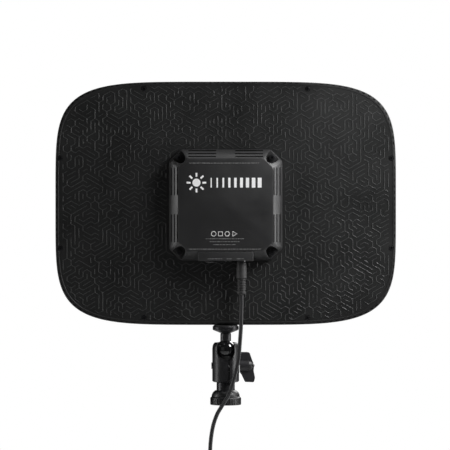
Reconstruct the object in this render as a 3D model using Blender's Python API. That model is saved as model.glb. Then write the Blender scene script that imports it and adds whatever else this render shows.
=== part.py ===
"""Edge-lit LED panel light on a small ball head, with its plug-in supply lead.

Lengths are in millimetres and turned into metres when a mesh is made.
The origin is the centre of the pole stub's lower end. The pole rises along +Z, the panel shines
towards +Y, and its control box and controls are on the -Y side.
"""

import math

import bmesh
import bpy
from mathutils import Matrix, Vector

MM = 0.001
GAP = 0.3

# panel
PANEL_A = 175.0
PANEL_B = 125.0
PANEL_POWER = 5.0
PANEL_Z = 207.1
PANEL_REAR = -7.0
PANEL_FRONT = 7.0
WALL = 1.8
SIDE_WALL = 2.0
PARTING = 4.6
STACK_INSET = 12.2
WINDOW_INSET = 13.5
OUTLINE_POINTS = 64
STACK_POINTS = 40
COVER_SCREWS = [(x * sx, z * sz) for x, z in ((84.0, 117.7), (170.0, 46.3)) for sx in (-1, 1) for sz in (-1, 1)]

# control box
BOX_Z = 205.4
BOX_BASE = (58.25, 57.0)
BOX_FACE = (48.5, 48.4)
BOX_REAR = -23.0
BOX_BOTTOM = PANEL_REAR - GAP
BOX_CORNER = 11.0
BOX_WALL = 2.0
BOX_SCREWS = [(47.5 * sx, BOX_Z + 48.6 * sz) for sx in (-1, 1) for sz in (-1, 1)]
LIP_X = 28.2
LIP_Z = (148.1, 157.4)
SOCKET_Y = -15.0
ROCKER_X = -10.2
ROCKER_Z = 149.2
RESET_X = 4.9
JACK_X = 16.2

# ball head and pole
BALL_Z = 56.5
BALL_R = 10.3
CUP_R = BALL_R + GAP
HOUSING_R = 13.8
HOUSING_BOTTOM = 23.3
HOUSING_TOP = 63.9
KNOB_Z = 40.0
STUD_R = 5.5
STUD_TOP = 73.4
THREAD_R = 3.1
COLLAR_TOP = 14.9
TUBE_R = 9.4
TUBE_TOP = 23.0

# supply lead
CORD_D = 4.1
BOOT_Z = (113.9, 147.3)
BEND_Z = (82.4, 40.0)
COIL_CENTRE = (-47.4, -15.6, -86.0)
COIL_MEAN_R = 24.0
COIL_HALF_BUILD = 9.7
COIL_HALF_WIDTH = 8.8
ADAPTER_X = -44.0
ADAPTER_Y = -10.0
ADAPTER_TOP = -160.0
ADAPTER_SIZE = (45.0, 32.0, 75.0)
LEAD_ROUTE = [
    (16.2, -15.0, 113.6), (16.2, -15.2, 104.0), (16.0, -15.9, 92.0), (15.6, -16.6, 80.0),
    (14.7, -17.1, 67.0), (13.9, -17.3, 56.0), (13.2, -17.4, 48.0), (11.4, -17.7, 38.5),
    (8.8, -18.3, 28.5), (5.1, -19.1, 16.0), (1.3, -19.8, 8.0), (-3.8, -20.4, 0.0),
    (-9.0, -20.9, -9.0), (-13.0, -21.4, -21.0), (-15.3, -21.8, -36.0), (-16.0, -22.0, -52.0),
    (-16.0, -22.0, -68.5),
]
TAIL_ROUTE = [
    (-37.6, -9.3, -120.6), (-40.6, -9.4, -124.6), (-42.9, -9.7, -130.0), (-43.8, -9.9, -136.0),
    (-44.0, -10.0, -141.4),
]

MATERIALS = {
    "black_metal": ((0.022, 0.022, 0.024), 0.55, 0.0),
    "black_plastic": ((0.028, 0.028, 0.030), 0.50, 0.0),
    "glossy_black": ((0.020, 0.020, 0.021), 0.18, 0.0),
    "satin_black": ((0.045, 0.045, 0.048), 0.35, 0.6),
    "black_rubber": ((0.018, 0.018, 0.018), 0.80, 0.0),
    "bright_steel": ((0.62, 0.62, 0.63), 0.30, 1.0),
    "brass": ((0.62, 0.46, 0.22), 0.30, 1.0),
    "aluminium": ((0.70, 0.70, 0.72), 0.40, 1.0),
    "opal_plastic": ((0.90, 0.90, 0.88), 0.45, 0.0),
    "clear_acrylic": ((0.86, 0.90, 0.92), 0.10, 0.0),
    "white_film": ((0.92, 0.92, 0.92), 0.55, 0.0),
    "green_board": ((0.03, 0.18, 0.08), 0.45, 0.0),
}


def clear_scene():
    for item in list(bpy.data.objects):
        bpy.data.objects.remove(item, do_unlink=True)


def material(name):
    made = bpy.data.materials.get(name)
    if made is None:
        colour, roughness, metallic = MATERIALS[name]
        made = bpy.data.materials.new(name)
        made.use_nodes = True
        shader = made.node_tree.nodes["Principled BSDF"]
        shader.inputs["Base Color"].default_value = (*colour, 1.0)
        shader.inputs["Roughness"].default_value = roughness
        shader.inputs["Metallic"].default_value = metallic
    return made


def joint_empty(name, point, parent=None):
    """An empty on a joint's axis, which the pieces of the moving body hang from."""
    empty = bpy.data.objects.new(name, None)
    bpy.context.collection.objects.link(empty)
    empty.empty_display_size = 0.01
    empty["at"] = [c * MM for c in point]
    base = Vector(parent["at"]) if parent else Vector()
    empty.location = Vector(empty["at"]) - base
    empty.parent = parent
    return empty


def place(name, mesh, parent):
    """Links the mesh as an object whose origin is its parent empty's point."""
    piece = bpy.data.objects.new(name, mesh)
    bpy.context.collection.objects.link(piece)
    if parent:
        piece.parent = parent
        mesh.transform(Matrix.Translation(-Vector(parent["at"])))
    return piece


def loft(name, look, loops, parent=None, ring=False, sharp=35.0, cutter=False):
    """One closed solid through groups of loops, capped at both ends, or a ring that joins up.

    loops is a list of loops, or a list of such lists for several like solids in one piece.
    """
    groups = loops if isinstance(loops[0][0][0], (tuple, list, Vector)) else [loops]
    bm = bmesh.new()
    for group in groups:
        rows = [[bm.verts.new(Vector(p) * MM) for p in loop] for loop in group]
        count = len(rows[0])
        pairs = list(zip(rows, rows[1:])) + ([(rows[-1], rows[0])] if ring else [])
        for a, b in pairs:
            for i in range(count):
                j = (i + 1) % count
                bm.faces.new((a[i], a[j], b[j], b[i]))
        if not ring:
            bm.faces.new(list(reversed(rows[0])))
            bm.faces.new(rows[-1])
    bmesh.ops.recalc_face_normals(bm, faces=bm.faces)
    mesh = bpy.data.meshes.new(name)
    bm.to_mesh(mesh)
    bm.free()
    piece = place(name, mesh, parent)
    if cutter:
        piece.hide_render = True
        piece.display_type = "WIRE"
    else:
        mesh.shade_smooth()
        mesh.set_sharp_from_angle(angle=math.radians(sharp))
        mesh.materials.append(material(look))
    return piece


def circle(radius, height, centre=(0, 0), axis="Z", count=24):
    """Points of a circle about a line along the axis; centre gives the line's other coordinates."""
    points = []
    for i in range(count):
        t = math.tau * i / count
        u, v = centre[0] + radius * math.cos(t), centre[1] + radius * math.sin(t)
        points.append({"Z": (u, v, height), "Y": (u, height, v), "X": (height, u, v)}[axis])
    return points


def turned(name, look, profile, centre=(0, 0), axis="Z", count=24, **options):
    """A turned solid from its profile of (radius, height) points."""
    loops = [circle(r, h, centre, axis, count) for r, h in profile]
    return loft(name, look, loops, **options)


def turned_set(name, look, profile, centres, axis="Y", count=10, **options):
    """Like turned solids in one piece, such as a set of screws."""
    groups = [[circle(r, h, c, axis, count) for r, h in profile] for c in centres]
    return loft(name, look, groups, **options)


def oval(inset, y, count=OUTLINE_POINTS):
    """The panel's outline, a superellipse, moved in by inset at depth y."""
    a, b, power = PANEL_A - inset, PANEL_B - inset, 2.0 / PANEL_POWER
    points = []
    for i in range(count):
        t = math.tau * (i + 0.5) / count
        c, s = math.cos(t), math.sin(t)
        points.append((a * math.copysign(abs(c) ** power, c), y, PANEL_Z + b * math.copysign(abs(s) ** power, s)))
    return points


def cut_rectangle(half_x, half_z, corner, y, centre_z):
    """A rectangle in the panel's plane with its corners cut off."""
    quarter = [(half_x, half_z - corner), (half_x - corner, half_z)]
    signs = [(1, 1, 1), (-1, 1, -1), (-1, -1, 1), (1, -1, -1)]
    points = []
    for sx, sz, way in signs:
        points += [(sx * x, y, centre_z + sz * z) for x, z in quarter[::way]]
    return points


def rectangle(x0, x1, y0, y1, z):
    return [(x0, y0, z), (x1, y0, z), (x1, y1, z), (x0, y1, z)]


def block(name, look, low, high, **options):
    loops = [rectangle(low[0], high[0], low[1], high[1], z) for z in (low[2], high[2])]
    return loft(name, look, loops, **options)


def boolean(piece, cutter, operation="DIFFERENCE"):
    step = piece.modifiers.new(operation.lower(), "BOOLEAN")
    step.operation = operation
    step.solver = "EXACT"
    step.object = cutter


def smooth_route(points, spacing):
    """Points at an even spacing on a smooth curve through the route."""
    pts = [Vector(p) for p in points]
    ends = [pts[0] * 2 - pts[1]] + pts + [pts[-1] * 2 - pts[-2]]
    fine = []
    for p0, p1, p2, p3 in zip(ends, ends[1:], ends[2:], ends[3:]):
        for i in range(24):
            t = i / 24
            fine.append(0.5 * (2 * p1 + (p2 - p0) * t + (2 * p0 - 5 * p1 + 4 * p2 - p3) * t * t
                               + (3 * p1 - p0 - 3 * p2 + p3) * t ** 3))
    fine.append(pts[-1])
    lengths = [0.0]
    for a, b in zip(fine, fine[1:]):
        lengths.append(lengths[-1] + (b - a).length)
    count = max(2, round(lengths[-1] / spacing))
    result, k = [], 0
    for i in range(count + 1):
        want = lengths[-1] * i / count
        while k < len(fine) - 2 and lengths[k + 1] < want:
            k += 1
        share = (want - lengths[k]) / (lengths[k + 1] - lengths[k])
        result.append(fine[k].lerp(fine[k + 1], min(1.0, share)))
    return result


def cord_tube(name, route, parent=None):
    """A plain round tube along a route that is already smooth."""
    curve = bpy.data.curves.new(name, "CURVE")
    curve.dimensions = "3D"
    curve.bevel_depth = CORD_D / 2 * MM
    curve.bevel_resolution = 2
    curve.use_fill_caps = True
    spline = curve.splines.new("POLY")
    spline.points.add(len(route) - 1)
    base = Vector(parent["at"]) if parent else Vector()
    for point, where in zip(spline.points, route):
        point.co = (*(where * MM - base), 1.0)
    curve.materials.append(material("black_rubber"))
    tube = bpy.data.objects.new(name, curve)
    bpy.context.collection.objects.link(tube)
    tube.parent = parent


# ---- pole stub and twist lock -------------------------------------------------------------

def make_pole():
    turned("end_plug", "black_plastic", [(10.5, 0), (10.5, 0.9), (7.9, 0.9), (7.9, 9.0)])
    turned("outer_tube", "satin_black", [(12.4, 0), (12.4, 9.2), (10.9, 9.2), (10.9, 0)], ring=True)
    turned("collet_sleeve", "black_plastic", [(10.6, 1.2), (10.6, 12.3), (9.7, 12.3), (9.7, 1.2)], ring=True)
    turned("inner_tube", "satin_black", [(TUBE_R, 1.2), (TUBE_R, TUBE_TOP), (8.2, TUBE_TOP), (8.2, 1.2)], ring=True)
    turned("top_plug", "bright_steel", [(7.9, 10.0), (7.9, 22.7), (THREAD_R, 22.7), (THREAD_R, 31.2)])


def make_lock_collar():
    axis = joint_empty("collar_axis", (0, 0, 0))
    outside = [(15.9, 0), (15.9, 5.5), (15.4, 7.2), (14.5, 9.4), (13.9, 11.3), (12.3, 13.6), (10.6, COLLAR_TOP)]
    inside = [(9.75, COLLAR_TOP), (9.75, 13.2), (11.0, 12.9), (12.75, 9.6), (12.75, 0)]
    turned("lock_collar", "black_plastic", outside + inside, count=32, ring=True, parent=axis)


# ---- ball head ----------------------------------------------------------------------------

def make_housing():
    """The clamping housing: a turned body with a ball seat, an open front notch and side bores."""
    seat = []
    for angle in (28, 14, 0, -16, -33):
        t = math.radians(angle)
        seat.append((CUP_R * math.cos(t), BALL_Z + CUP_R * math.sin(t)))
    outside = [(3.4, 31.5), (3.4, HOUSING_BOTTOM), (13.2, HOUSING_BOTTOM), (HOUSING_R, 24.0), (HOUSING_R, 58.5),
               (13.3, 61.2), (12.4, 63.0), (11.3, HOUSING_TOP), (10.9, HOUSING_TOP)]
    pocket = [(8.9, seat[-1][1]), (8.9, 34.0)]
    housing = turned("housing", "black_plastic", outside + seat[:-1] + pocket, count=32)

    def notch_loop(y, half):
        low = 55.5
        arc = [(half * math.cos(math.radians(a)), y, low + half * math.sin(math.radians(a)))
               for a in range(180, 361, 30)]
        return arc + [(half, y, 70.0), (-half, y, 70.0)]

    notch = loft("notch_cutter", None, [notch_loop(-3.0, 7.1), notch_loop(-16.0, 11.2)], cutter=True)
    bore = turned("bore_cutter", None, [(3.3, 5.0), (3.3, 17.0)], (0, KNOB_Z), "X", 12, cutter=True)
    left = turned("cap_cutter", None, [(3.7, -17.0), (3.7, -11.0)], (0, KNOB_Z), "X", 12, cutter=True)
    for cutter in (notch, bore, left):
        boolean(housing, cutter)
    turned("pivot_cap", "glossy_black", [(3.4, -14.6), (3.4, -11.3)], (0, KNOB_Z), "X", 12)
    dish = [(CUP_R * math.sin(math.radians(a)), BALL_Z - CUP_R * math.cos(math.radians(a))) for a in (54, 38, 20, 4)]
    turned("brake_cup", "brass", [(8.6, 43.5), (8.6, dish[0][1])] + dish)


def make_knob():
    """The wing knob that tightens the housing, with the screw that it turns."""
    axis = joint_empty("knob_axis", (0, 0, KNOB_Z))
    turned("clamp_screw", "bright_steel", [(1.2, -3.0), (3.0, -1.0), (3.0, 14.0)], (0, KNOB_Z), "X", 12, parent=axis)
    outline = [(14.3, 33.0), (15.4, 31.8), (19.6, 23.4), (29.4, 23.1), (30.2, 27.7), (29.0, 40.0), (24.4, 53.9),
               (15.6, 53.9), (14.3, 52.6)]
    half = 4.2
    loops = [[(x, y, z) for x, z in outline] for y in (-half, half)]
    wing = loft("clamp_knob", "black_plastic", loops, parent=axis)
    hub = turned("hub_cutter", None, [(6.6, 14.3), (6.6, 26.0), (5.4, 27.4)], (0, KNOB_Z), "X", 16, cutter=True)
    boolean(wing, hub, "UNION")


def make_ball(axes):
    rings = 12
    profile = []
    for i in range(rings + 1):
        t = math.radians(-84 + 168 * i / rings)
        profile.append((BALL_R * math.cos(t), BALL_Z + BALL_R * math.sin(t)))
    turned("ball", "glossy_black", profile, parent=axes["lean"])
    foot = [(r, BALL_Z + math.sqrt(CUP_R ** 2 - r ** 2)) for r in (0.8, 3.0, STUD_R)]
    stem = [(STUD_R, STUD_TOP), (THREAD_R, STUD_TOP), (THREAD_R, 91.5)]
    turned("ball_stud", "satin_black", foot + stem, parent=axes["tilt"])


def make_lock_disc(axes):
    bore = THREAD_R + 0.4
    disc = [(bore, STUD_TOP + GAP), (5.9, STUD_TOP + GAP), (11.6, 76.1), (13.4, 77.0), (13.4, 80.4), (12.9, 81.0),
            (bore, 81.0)]
    turned("lock_disc", "satin_black", disc, count=32, ring=True, parent=axes["disc"])
    pad = [(bore, 81.3), (12.4, 81.3), (12.4, 81.8), (bore, 81.8)]
    turned("disc_pad", "black_rubber", pad, ring=True, parent=axes["disc"])


# ---- panel --------------------------------------------------------------------------------

def make_rear_cover(spin):
    bevel = 0.9
    loops = [
        oval(SIDE_WALL, PANEL_REAR + WALL), oval(SIDE_WALL, PARTING), oval(0, PARTING),
        oval(0, PANEL_REAR + bevel), oval(bevel, PANEL_REAR),
    ]
    cover = loft("rear_cover", "black_metal", loops, parent=spin)
    reach = (PANEL_REAR - 1.0, PANEL_REAR + WALL + 1.0)
    heads = [(x, PANEL_Z + z) for x, z in COVER_SCREWS]
    cutters = [
        turned_set("cover_screw_holes", None, [(2.8, reach[0]), (2.8, reach[1])], heads, count=8, cutter=True),
        turned_set("box_screw_holes", None, [(1.8, reach[0]), (1.8, reach[1])], BOX_SCREWS, count=8, cutter=True),
        turned("stud_hole", None, [(3.8, 80.0), (3.8, 86.0)], count=12, cutter=True),
    ]
    for cutter in cutters:
        boolean(cover, cutter)


def make_light_stack(spin):
    """Everything between the two halves of the panel's case."""
    window = [oval(WINDOW_INSET, PARTING + GAP), oval(WINDOW_INSET, PANEL_FRONT)]
    outside = [oval(0.9, PANEL_FRONT), oval(0, PANEL_FRONT - 0.9), oval(0, PARTING + GAP)]
    frame = loft("front_frame", "black_plastic", window + outside, parent=spin, ring=True)
    posts = [(x, PANEL_Z + z) for x, z in COVER_SCREWS]
    boss = [(1.5, PARTING - 0.3), (1.5, -4.9), (2.2, -4.9), (2.2, PARTING + 1.0)]
    boolean(frame, turned_set("boss_shapes", None, boss, posts, cutter=True), "UNION")
    layers = [
        ("diffuser", "opal_plastic", 2.6, PARTING),
        ("light_guide", "clear_acrylic", -1.0, 2.3),
        ("reflector_sheet", "white_film", -1.9, -1.3),
        ("heat_tray", "aluminium", -4.6, -2.2),
    ]
    for name, look, rear, front in layers:
        loft(name, look, [oval(STACK_INSET, y, STACK_POINTS) for y in (rear, front)], parent=spin)
    for name, sign in (("led_strip_left", -1), ("led_strip_right", 1)):
        x = sorted((sign * 164.6, sign * 165.9))
        block(name, "white_film", (x[0], -1.5, PANEL_Z - 80), (x[1], 4.0, PANEL_Z + 80), parent=spin)
    block("led_strip_top", "white_film", (-125, -1.5, PANEL_Z + 113.2), (125, 4.0, PANEL_Z + 114.5), parent=spin)
    screw = [(2.5, -6.6), (2.5, -5.2), (1.2, -5.2), (1.2, 3.0)]
    for number, post in enumerate(posts, 1):
        turned(f"cover_screw_{number}", "satin_black", screw, post, "Y", 10, parent=spin)
    insert = [(3.4, 93.0), (3.4, 84.4), (4.5, 84.4), (4.5, 93.6)]
    turned("thread_insert", "brass", insert, count=16, parent=spin)


def make_box_cover(spin):
    """The control box's lid: sloped sides, thick corners with screw pockets, open at the connectors."""
    thick_corner = 26.0
    face_bevel = 0.8

    def outer(y, inset=0.0):
        share = (y - BOX_BOTTOM) / (BOX_REAR - BOX_BOTTOM)
        half = [b + (f - b) * share - inset for b, f in zip(BOX_BASE, BOX_FACE)]
        return cut_rectangle(*half, BOX_CORNER - inset * 0.6, y, BOX_Z)

    def inner(y):
        share = (y - BOX_BOTTOM) / (BOX_REAR - BOX_BOTTOM)
        half = [b + (f - b) * share - BOX_WALL for b, f in zip(BOX_BASE, BOX_FACE)]
        return cut_rectangle(*half, thick_corner, y, BOX_Z)

    ceiling = BOX_REAR + BOX_WALL
    loops = [inner(ceiling), inner(BOX_BOTTOM), outer(BOX_BOTTOM), outer(BOX_REAR + face_bevel),
             outer(BOX_REAR, face_bevel)]
    cover = loft("box_cover", "black_plastic", loops, parent=spin, sharp=20)
    pocket = [(3.9, BOX_REAR - 2), (3.9, -11.6)]
    hole = [(1.7, -12.5), (1.7, BOX_BOTTOM + 2)]
    cutters = [
        turned_set("pocket_cutter", None, pocket, BOX_SCREWS, count=12, cutter=True),
        turned_set("box_hole_cutter", None, hole, BOX_SCREWS, count=8, cutter=True),
        block("lip_cutter", None, (-LIP_X - GAP, -30, 140), (LIP_X + GAP, -5, LIP_Z[1] + GAP), cutter=True),
    ]
    for cutter in cutters:
        boolean(cover, cutter)
    screw = [(3.4, -14.0), (3.4, -11.9), (1.4, -11.9), (1.4, -4.9)]
    for number, corner in enumerate(BOX_SCREWS, 1):
        turned(f"box_screw_{number}", "satin_black", screw, corner, "Y", 10, parent=spin)


def make_connectors(axes):
    """The strip along the box's lower edge that holds the switch, the reset pin and the socket."""
    spin = axes["spin"]
    panel = block("connector_panel", "black_plastic", (-LIP_X, -22.6, LIP_Z[0]), (LIP_X, -7.6, LIP_Z[1]), parent=spin)
    body = (ROCKER_X - 9.4, ROCKER_X + 9.4, SOCKET_Y - 4.6, SOCKET_Y + 4.6)
    cutters = [
        block("switch_cutter", None, (body[0] - GAP, body[2] - GAP, 140), (body[1] + GAP, body[3] + GAP, 165),
              cutter=True),
        turned("reset_cutter", None, [(1.8, 140), (1.8, 165)], (RESET_X, SOCKET_Y), count=12, cutter=True),
        turned("jack_cutter", None, [(5.0, 140), (5.0, 165)], (JACK_X, SOCKET_Y), count=20, cutter=True),
    ]
    for cutter in cutters:
        boolean(panel, cutter)

    def around(half_x, half_y, z):
        return rectangle(ROCKER_X - half_x, ROCKER_X + half_x, SOCKET_Y - half_y, SOCKET_Y + half_y, z)

    bezel = [around(8.9, 3.9, 153.5), around(8.9, 3.9, 146.6), around(11.0, 5.8, 146.6), around(11.0, 5.8, 147.8),
             around(9.4, 4.6, 147.8), around(9.4, 4.6, 157.0)]
    loft("switch_bezel", "glossy_black", bezel, parent=spin)
    jack = [(1.0, 149.6), (1.0, 158.0), (3.05, 158.0), (3.05, 147.6), (4.7, 147.6), (4.7, 160.0)]
    turned("dc_jack", "black_plastic", jack, (JACK_X, SOCKET_Y), count=20, parent=spin)
    block("reset_switch", "black_plastic", (RESET_X - 3, SOCKET_Y - 3, 158.2), (RESET_X + 3, SOCKET_Y + 3, 161.5),
          parent=spin)

    rocker_axis = axes["rocker"]
    rest = math.radians(-7)
    outline = [(-8.2, -2.6), (0, -1.3), (8.2, -2.6), (8.2, -1.0), (2.2, 2.8), (-2.2, 2.8), (-8.2, -1.0)]
    turned_outline = [(ROCKER_X + x * math.cos(rest) + z * math.sin(rest),
                       ROCKER_Z - x * math.sin(rest) + z * math.cos(rest)) for x, z in outline]
    loops = [[(x, y, z) for x, z in turned_outline] for y in (SOCKET_Y - 3.5, SOCKET_Y + 3.5)]
    loft("power_rocker", "glossy_black", loops, parent=rocker_axis)
    pin = [(1.2, 147.4), (1.2, 157.2)]
    turned("reset_button", "black_plastic", pin, (RESET_X, SOCKET_Y), count=12, parent=axes["reset"])


def make_electronics(spin):
    block("driver_board", "green_board", (-36, -10.6, 168), (36, -9.0, 244), parent=spin)
    block("inductor", "black_plastic", (-28, -19.0, 176), (-14, -10.9, 190), parent=spin)
    turned("capacitor", "aluminium", [(5.0, -20.4), (5.0, -10.9)], (2, 184), "Y", 12, parent=spin)
    block("wireless_module", "bright_steel", (-30, -13.6, 214), (-12, -10.9, 238), parent=spin)
    block("led_connector", "opal_plastic", (12, -15.4, 228), (28, -10.9, 236), parent=spin)


# ---- supply lead --------------------------------------------------------------------------

def make_plug(spin):
    centre = (JACK_X, SOCKET_Y)
    boot = [(4.0, BOOT_Z[0]), (4.45, BOOT_Z[0] + 0.6), (4.45, 130.0), (5.25, 130.8), (5.25, 141.0),
            (4.5, 146.4), (4.2, BOOT_Z[1])]
    turned("plug_boot", "black_rubber", boot, centre, count=16, parent=spin)
    barrel = [(2.75, 147.6), (2.75, 157.2), (1.35, 157.2), (1.35, 147.6)]
    turned("plug_barrel", "bright_steel", barrel, centre, count=16, ring=True, parent=spin)


def make_lead(spin):
    """The lead in three stretches: on the panel, across the ball head, and hanging down the pole."""
    route = smooth_route(LEAD_ROUTE, CORD_D * 0.5)
    upper = [p for p in route if p.z > BEND_Z[0] + GAP / 2]
    middle = [p for p in route if BEND_Z[1] + GAP / 2 < p.z < BEND_Z[0] - GAP / 2]
    lower = [p for p in route if p.z < BEND_Z[1] - GAP / 2]
    for part, z in ((upper, BEND_Z[0]), (middle, BEND_Z[0]), (middle, BEND_Z[1]), (lower, BEND_Z[1])):
        k = min(range(len(part)), key=lambda i: abs(part[i].z - z))
        part[k] = part[k].copy()
        part[k].z = z + math.copysign(GAP / 2, part[k].z - z)
    cord_tube("cord_upper", smooth_route(upper, CORD_D * 2.4), spin)
    cord_tube("cord_bend", smooth_route(middle, CORD_D * 2.4))
    cord_tube("cord_lower", smooth_route(lower, CORD_D * 2.4))
    cord_tube("cord_tail", smooth_route(TAIL_ROUTE, CORD_D * 1.6))


def make_coil():
    """The wound part of the lead as its outer shape, with the strap that holds its turns."""
    x, y, z = COIL_CENTRE
    inside, outside = COIL_MEAN_R - COIL_HALF_BUILD, COIL_MEAN_R + COIL_HALF_BUILD
    back, front = y + COIL_HALF_WIDTH, y - COIL_HALF_WIDTH
    profile = [(inside, front), (outside, front), (outside, back), (inside, back)]
    turned("cord_coil", "black_rubber", profile, (x, z), "Y", 40, ring=True)
    gap, thick, half = 0.8, 0.9, 4.0
    x0, x1 = x - outside - GAP, x - inside + gap
    y0, y1 = front - GAP, back + GAP
    loops = [rectangle(x0 - o, x1 + o, y0 - o, y1 + o, z + s * half) for s, o in ((-1, 0), (1, 0), (1, thick), (-1, thick))]
    loft("coil_tie", "black_rubber", loops, ring=True)


def make_adapter():
    """The plug-top supply that the lead ends in."""
    half_x, half_y = ADAPTER_SIZE[0] / 2, ADAPTER_SIZE[1] / 2
    low = ADAPTER_TOP - ADAPTER_SIZE[2]
    centre = (ADAPTER_X, ADAPTER_Y)
    boot = [(3.0, -141.7), (4.6, -158.0), (4.6, ADAPTER_TOP + GAP)]
    turned("adapter_boot", "black_rubber", boot, centre, count=12)
    corner = 4.0

    def section(inset, z):
        hx, hy, c = half_x - inset, half_y - inset, corner
        flat = [(hx, hy - c), (hx - c, hy), (c - hx, hy), (-hx, hy - c), (-hx, c - hy), (c - hx, -hy), (hx - c, -hy),
                (hx, c - hy)]
        return [(ADAPTER_X + u, ADAPTER_Y + v, z) for u, v in flat]

    loops = [section(2, ADAPTER_TOP), section(0, ADAPTER_TOP - 2), section(0, low + 2), section(2, low)]
    loft("power_adapter", "black_plastic", loops)
    pins = [(ADAPTER_X - 9.5, ADAPTER_Y), (ADAPTER_X + 9.5, ADAPTER_Y)]
    low_face = low - GAP
    plate = block("adapter_pins", "brass", (ADAPTER_X - 13, ADAPTER_Y - 7, low_face - 1.6),
                  (ADAPTER_X + 13, ADAPTER_Y + 7, low_face))
    pin = [(2.0, low - 18), (2.4, low - 16.5), (2.4, low_face - 0.8)]
    boolean(plate, turned_set("pin_shapes", None, pin, pins, "Z", 10, cutter=True), "UNION")


def main():
    clear_scene()
    pivot = (0, 0, BALL_Z)
    axes = {"lean": joint_empty("lean_axis", pivot)}
    axes["tilt"] = joint_empty("tilt_axis", pivot, axes["lean"])
    axes["spin"] = joint_empty("spin_axis", pivot, axes["tilt"])
    axes["disc"] = joint_empty("disc_axis", (0, 0, STUD_TOP), axes["tilt"])
    axes["rocker"] = joint_empty("rocker_axis", (ROCKER_X, SOCKET_Y, ROCKER_Z), axes["spin"])
    axes["reset"] = joint_empty("reset_axis", (RESET_X, SOCKET_Y, 147.4), axes["spin"])
    make_pole()
    make_lock_collar()
    make_housing()
    make_knob()
    make_ball(axes)
    make_lock_disc(axes)
    make_rear_cover(axes["spin"])
    make_light_stack(axes["spin"])
    make_box_cover(axes["spin"])
    make_connectors(axes)
    make_electronics(axes["spin"])
    make_plug(axes["spin"])
    make_lead(axes["spin"])
    make_coil()
    make_adapter()


main()
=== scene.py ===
"""Finished look of the LED panel light: shells, relief, printing, ball head, pole and supply lead.

Lengths in the modelling functions are in millimetres and are turned into metres by MM. Every piece is
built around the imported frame: +Z up the pole, the panel shines towards +Y, the control box is at -Y.
"""

import math
import random

import bmesh
import bpy
from bpy.props import FloatProperty, FloatVectorProperty, IntProperty, PointerProperty
from mathutils import Matrix, Vector


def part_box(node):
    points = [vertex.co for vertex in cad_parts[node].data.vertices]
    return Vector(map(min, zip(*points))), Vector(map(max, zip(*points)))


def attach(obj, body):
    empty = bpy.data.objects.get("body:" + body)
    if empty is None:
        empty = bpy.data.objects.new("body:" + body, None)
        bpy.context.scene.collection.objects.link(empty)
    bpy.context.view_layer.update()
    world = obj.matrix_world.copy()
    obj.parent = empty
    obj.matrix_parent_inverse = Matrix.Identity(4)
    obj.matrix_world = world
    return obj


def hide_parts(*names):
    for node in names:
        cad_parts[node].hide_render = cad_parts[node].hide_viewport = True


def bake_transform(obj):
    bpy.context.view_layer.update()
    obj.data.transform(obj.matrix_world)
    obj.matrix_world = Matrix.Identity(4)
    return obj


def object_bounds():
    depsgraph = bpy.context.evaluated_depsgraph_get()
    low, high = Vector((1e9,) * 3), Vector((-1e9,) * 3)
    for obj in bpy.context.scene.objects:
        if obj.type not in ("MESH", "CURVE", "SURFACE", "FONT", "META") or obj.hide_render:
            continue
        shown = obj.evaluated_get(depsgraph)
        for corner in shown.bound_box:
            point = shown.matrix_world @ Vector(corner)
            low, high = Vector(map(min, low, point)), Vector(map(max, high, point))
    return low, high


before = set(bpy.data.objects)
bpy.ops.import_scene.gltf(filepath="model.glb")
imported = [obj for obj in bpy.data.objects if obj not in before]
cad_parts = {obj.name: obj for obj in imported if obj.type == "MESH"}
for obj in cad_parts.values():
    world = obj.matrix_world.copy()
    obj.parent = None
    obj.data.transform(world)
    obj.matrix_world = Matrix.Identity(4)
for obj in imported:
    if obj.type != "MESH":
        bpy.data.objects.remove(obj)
CAD_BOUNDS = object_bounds()

bl_info = {
    "name": "Panel light",
    "version": (1, 0, 0),
    "blender": (4, 5, 0),
    "location": "View3D > Sidebar > Panel light",
    "description": "Models the finished shells, fittings and supply lead of an LED panel light",
    "category": "Object",
}

MM = 0.001


def box_mm(node):
    """A node's lowest and highest corners in millimetres."""
    low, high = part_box(node)
    return low / MM, high / MM


SHELL_LOW, SHELL_HIGH = box_mm("rear_cover")
PANEL_A = (SHELL_HIGH.x - SHELL_LOW.x) / 2
PANEL_B = (SHELL_HIGH.z - SHELL_LOW.z) / 2
PANEL_Z = (SHELL_HIGH.z + SHELL_LOW.z) / 2
PANEL_REAR = SHELL_LOW.y
PARTING = SHELL_HIGH.y
PANEL_FRONT = box_mm("front_frame")[1].y
BOX_LOW, BOX_HIGH = box_mm("box_cover")
BOX_Z = (BOX_LOW.z + BOX_HIGH.z) / 2
BOX_REAR = BOX_LOW.y
BALL_LOW, BALL_HIGH = box_mm("ball")
BALL_R = (BALL_HIGH.x - BALL_LOW.x) / 2
BALL_Z = (BALL_HIGH.z + BALL_LOW.z) / 2
HOUSING_LOW, HOUSING_HIGH = box_mm("housing")
HOUSING_R = HOUSING_HIGH.x
BOOT_LOW, BOOT_HIGH = box_mm("plug_boot")
BOOT_X = (BOOT_LOW.x + BOOT_HIGH.x) / 2
BOOT_Y = (BOOT_LOW.y + BOOT_HIGH.y) / 2
COIL_LOW, COIL_HIGH = box_mm("cord_coil")

SMOOTH_ANGLE = 30.0  # degrees between faces that are shaded as one surface
MERGE_DISTANCE = 0.001  # millimetres between vertices that count as one
OVAL_POWER = 5.0  # how square the panel's outline is, from 2 for an ellipse
BALL_GAP = 0.3  # between the ball and its seat
KNOB_Z = 40.0  # height of the clamp knob's axis
PIN_CENTRE = (4.9, -15.0)  # the reset pin's x and y
THREAD_PITCH = 1.27


# ---- settings -----------------------------------------------------------------------------

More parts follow.
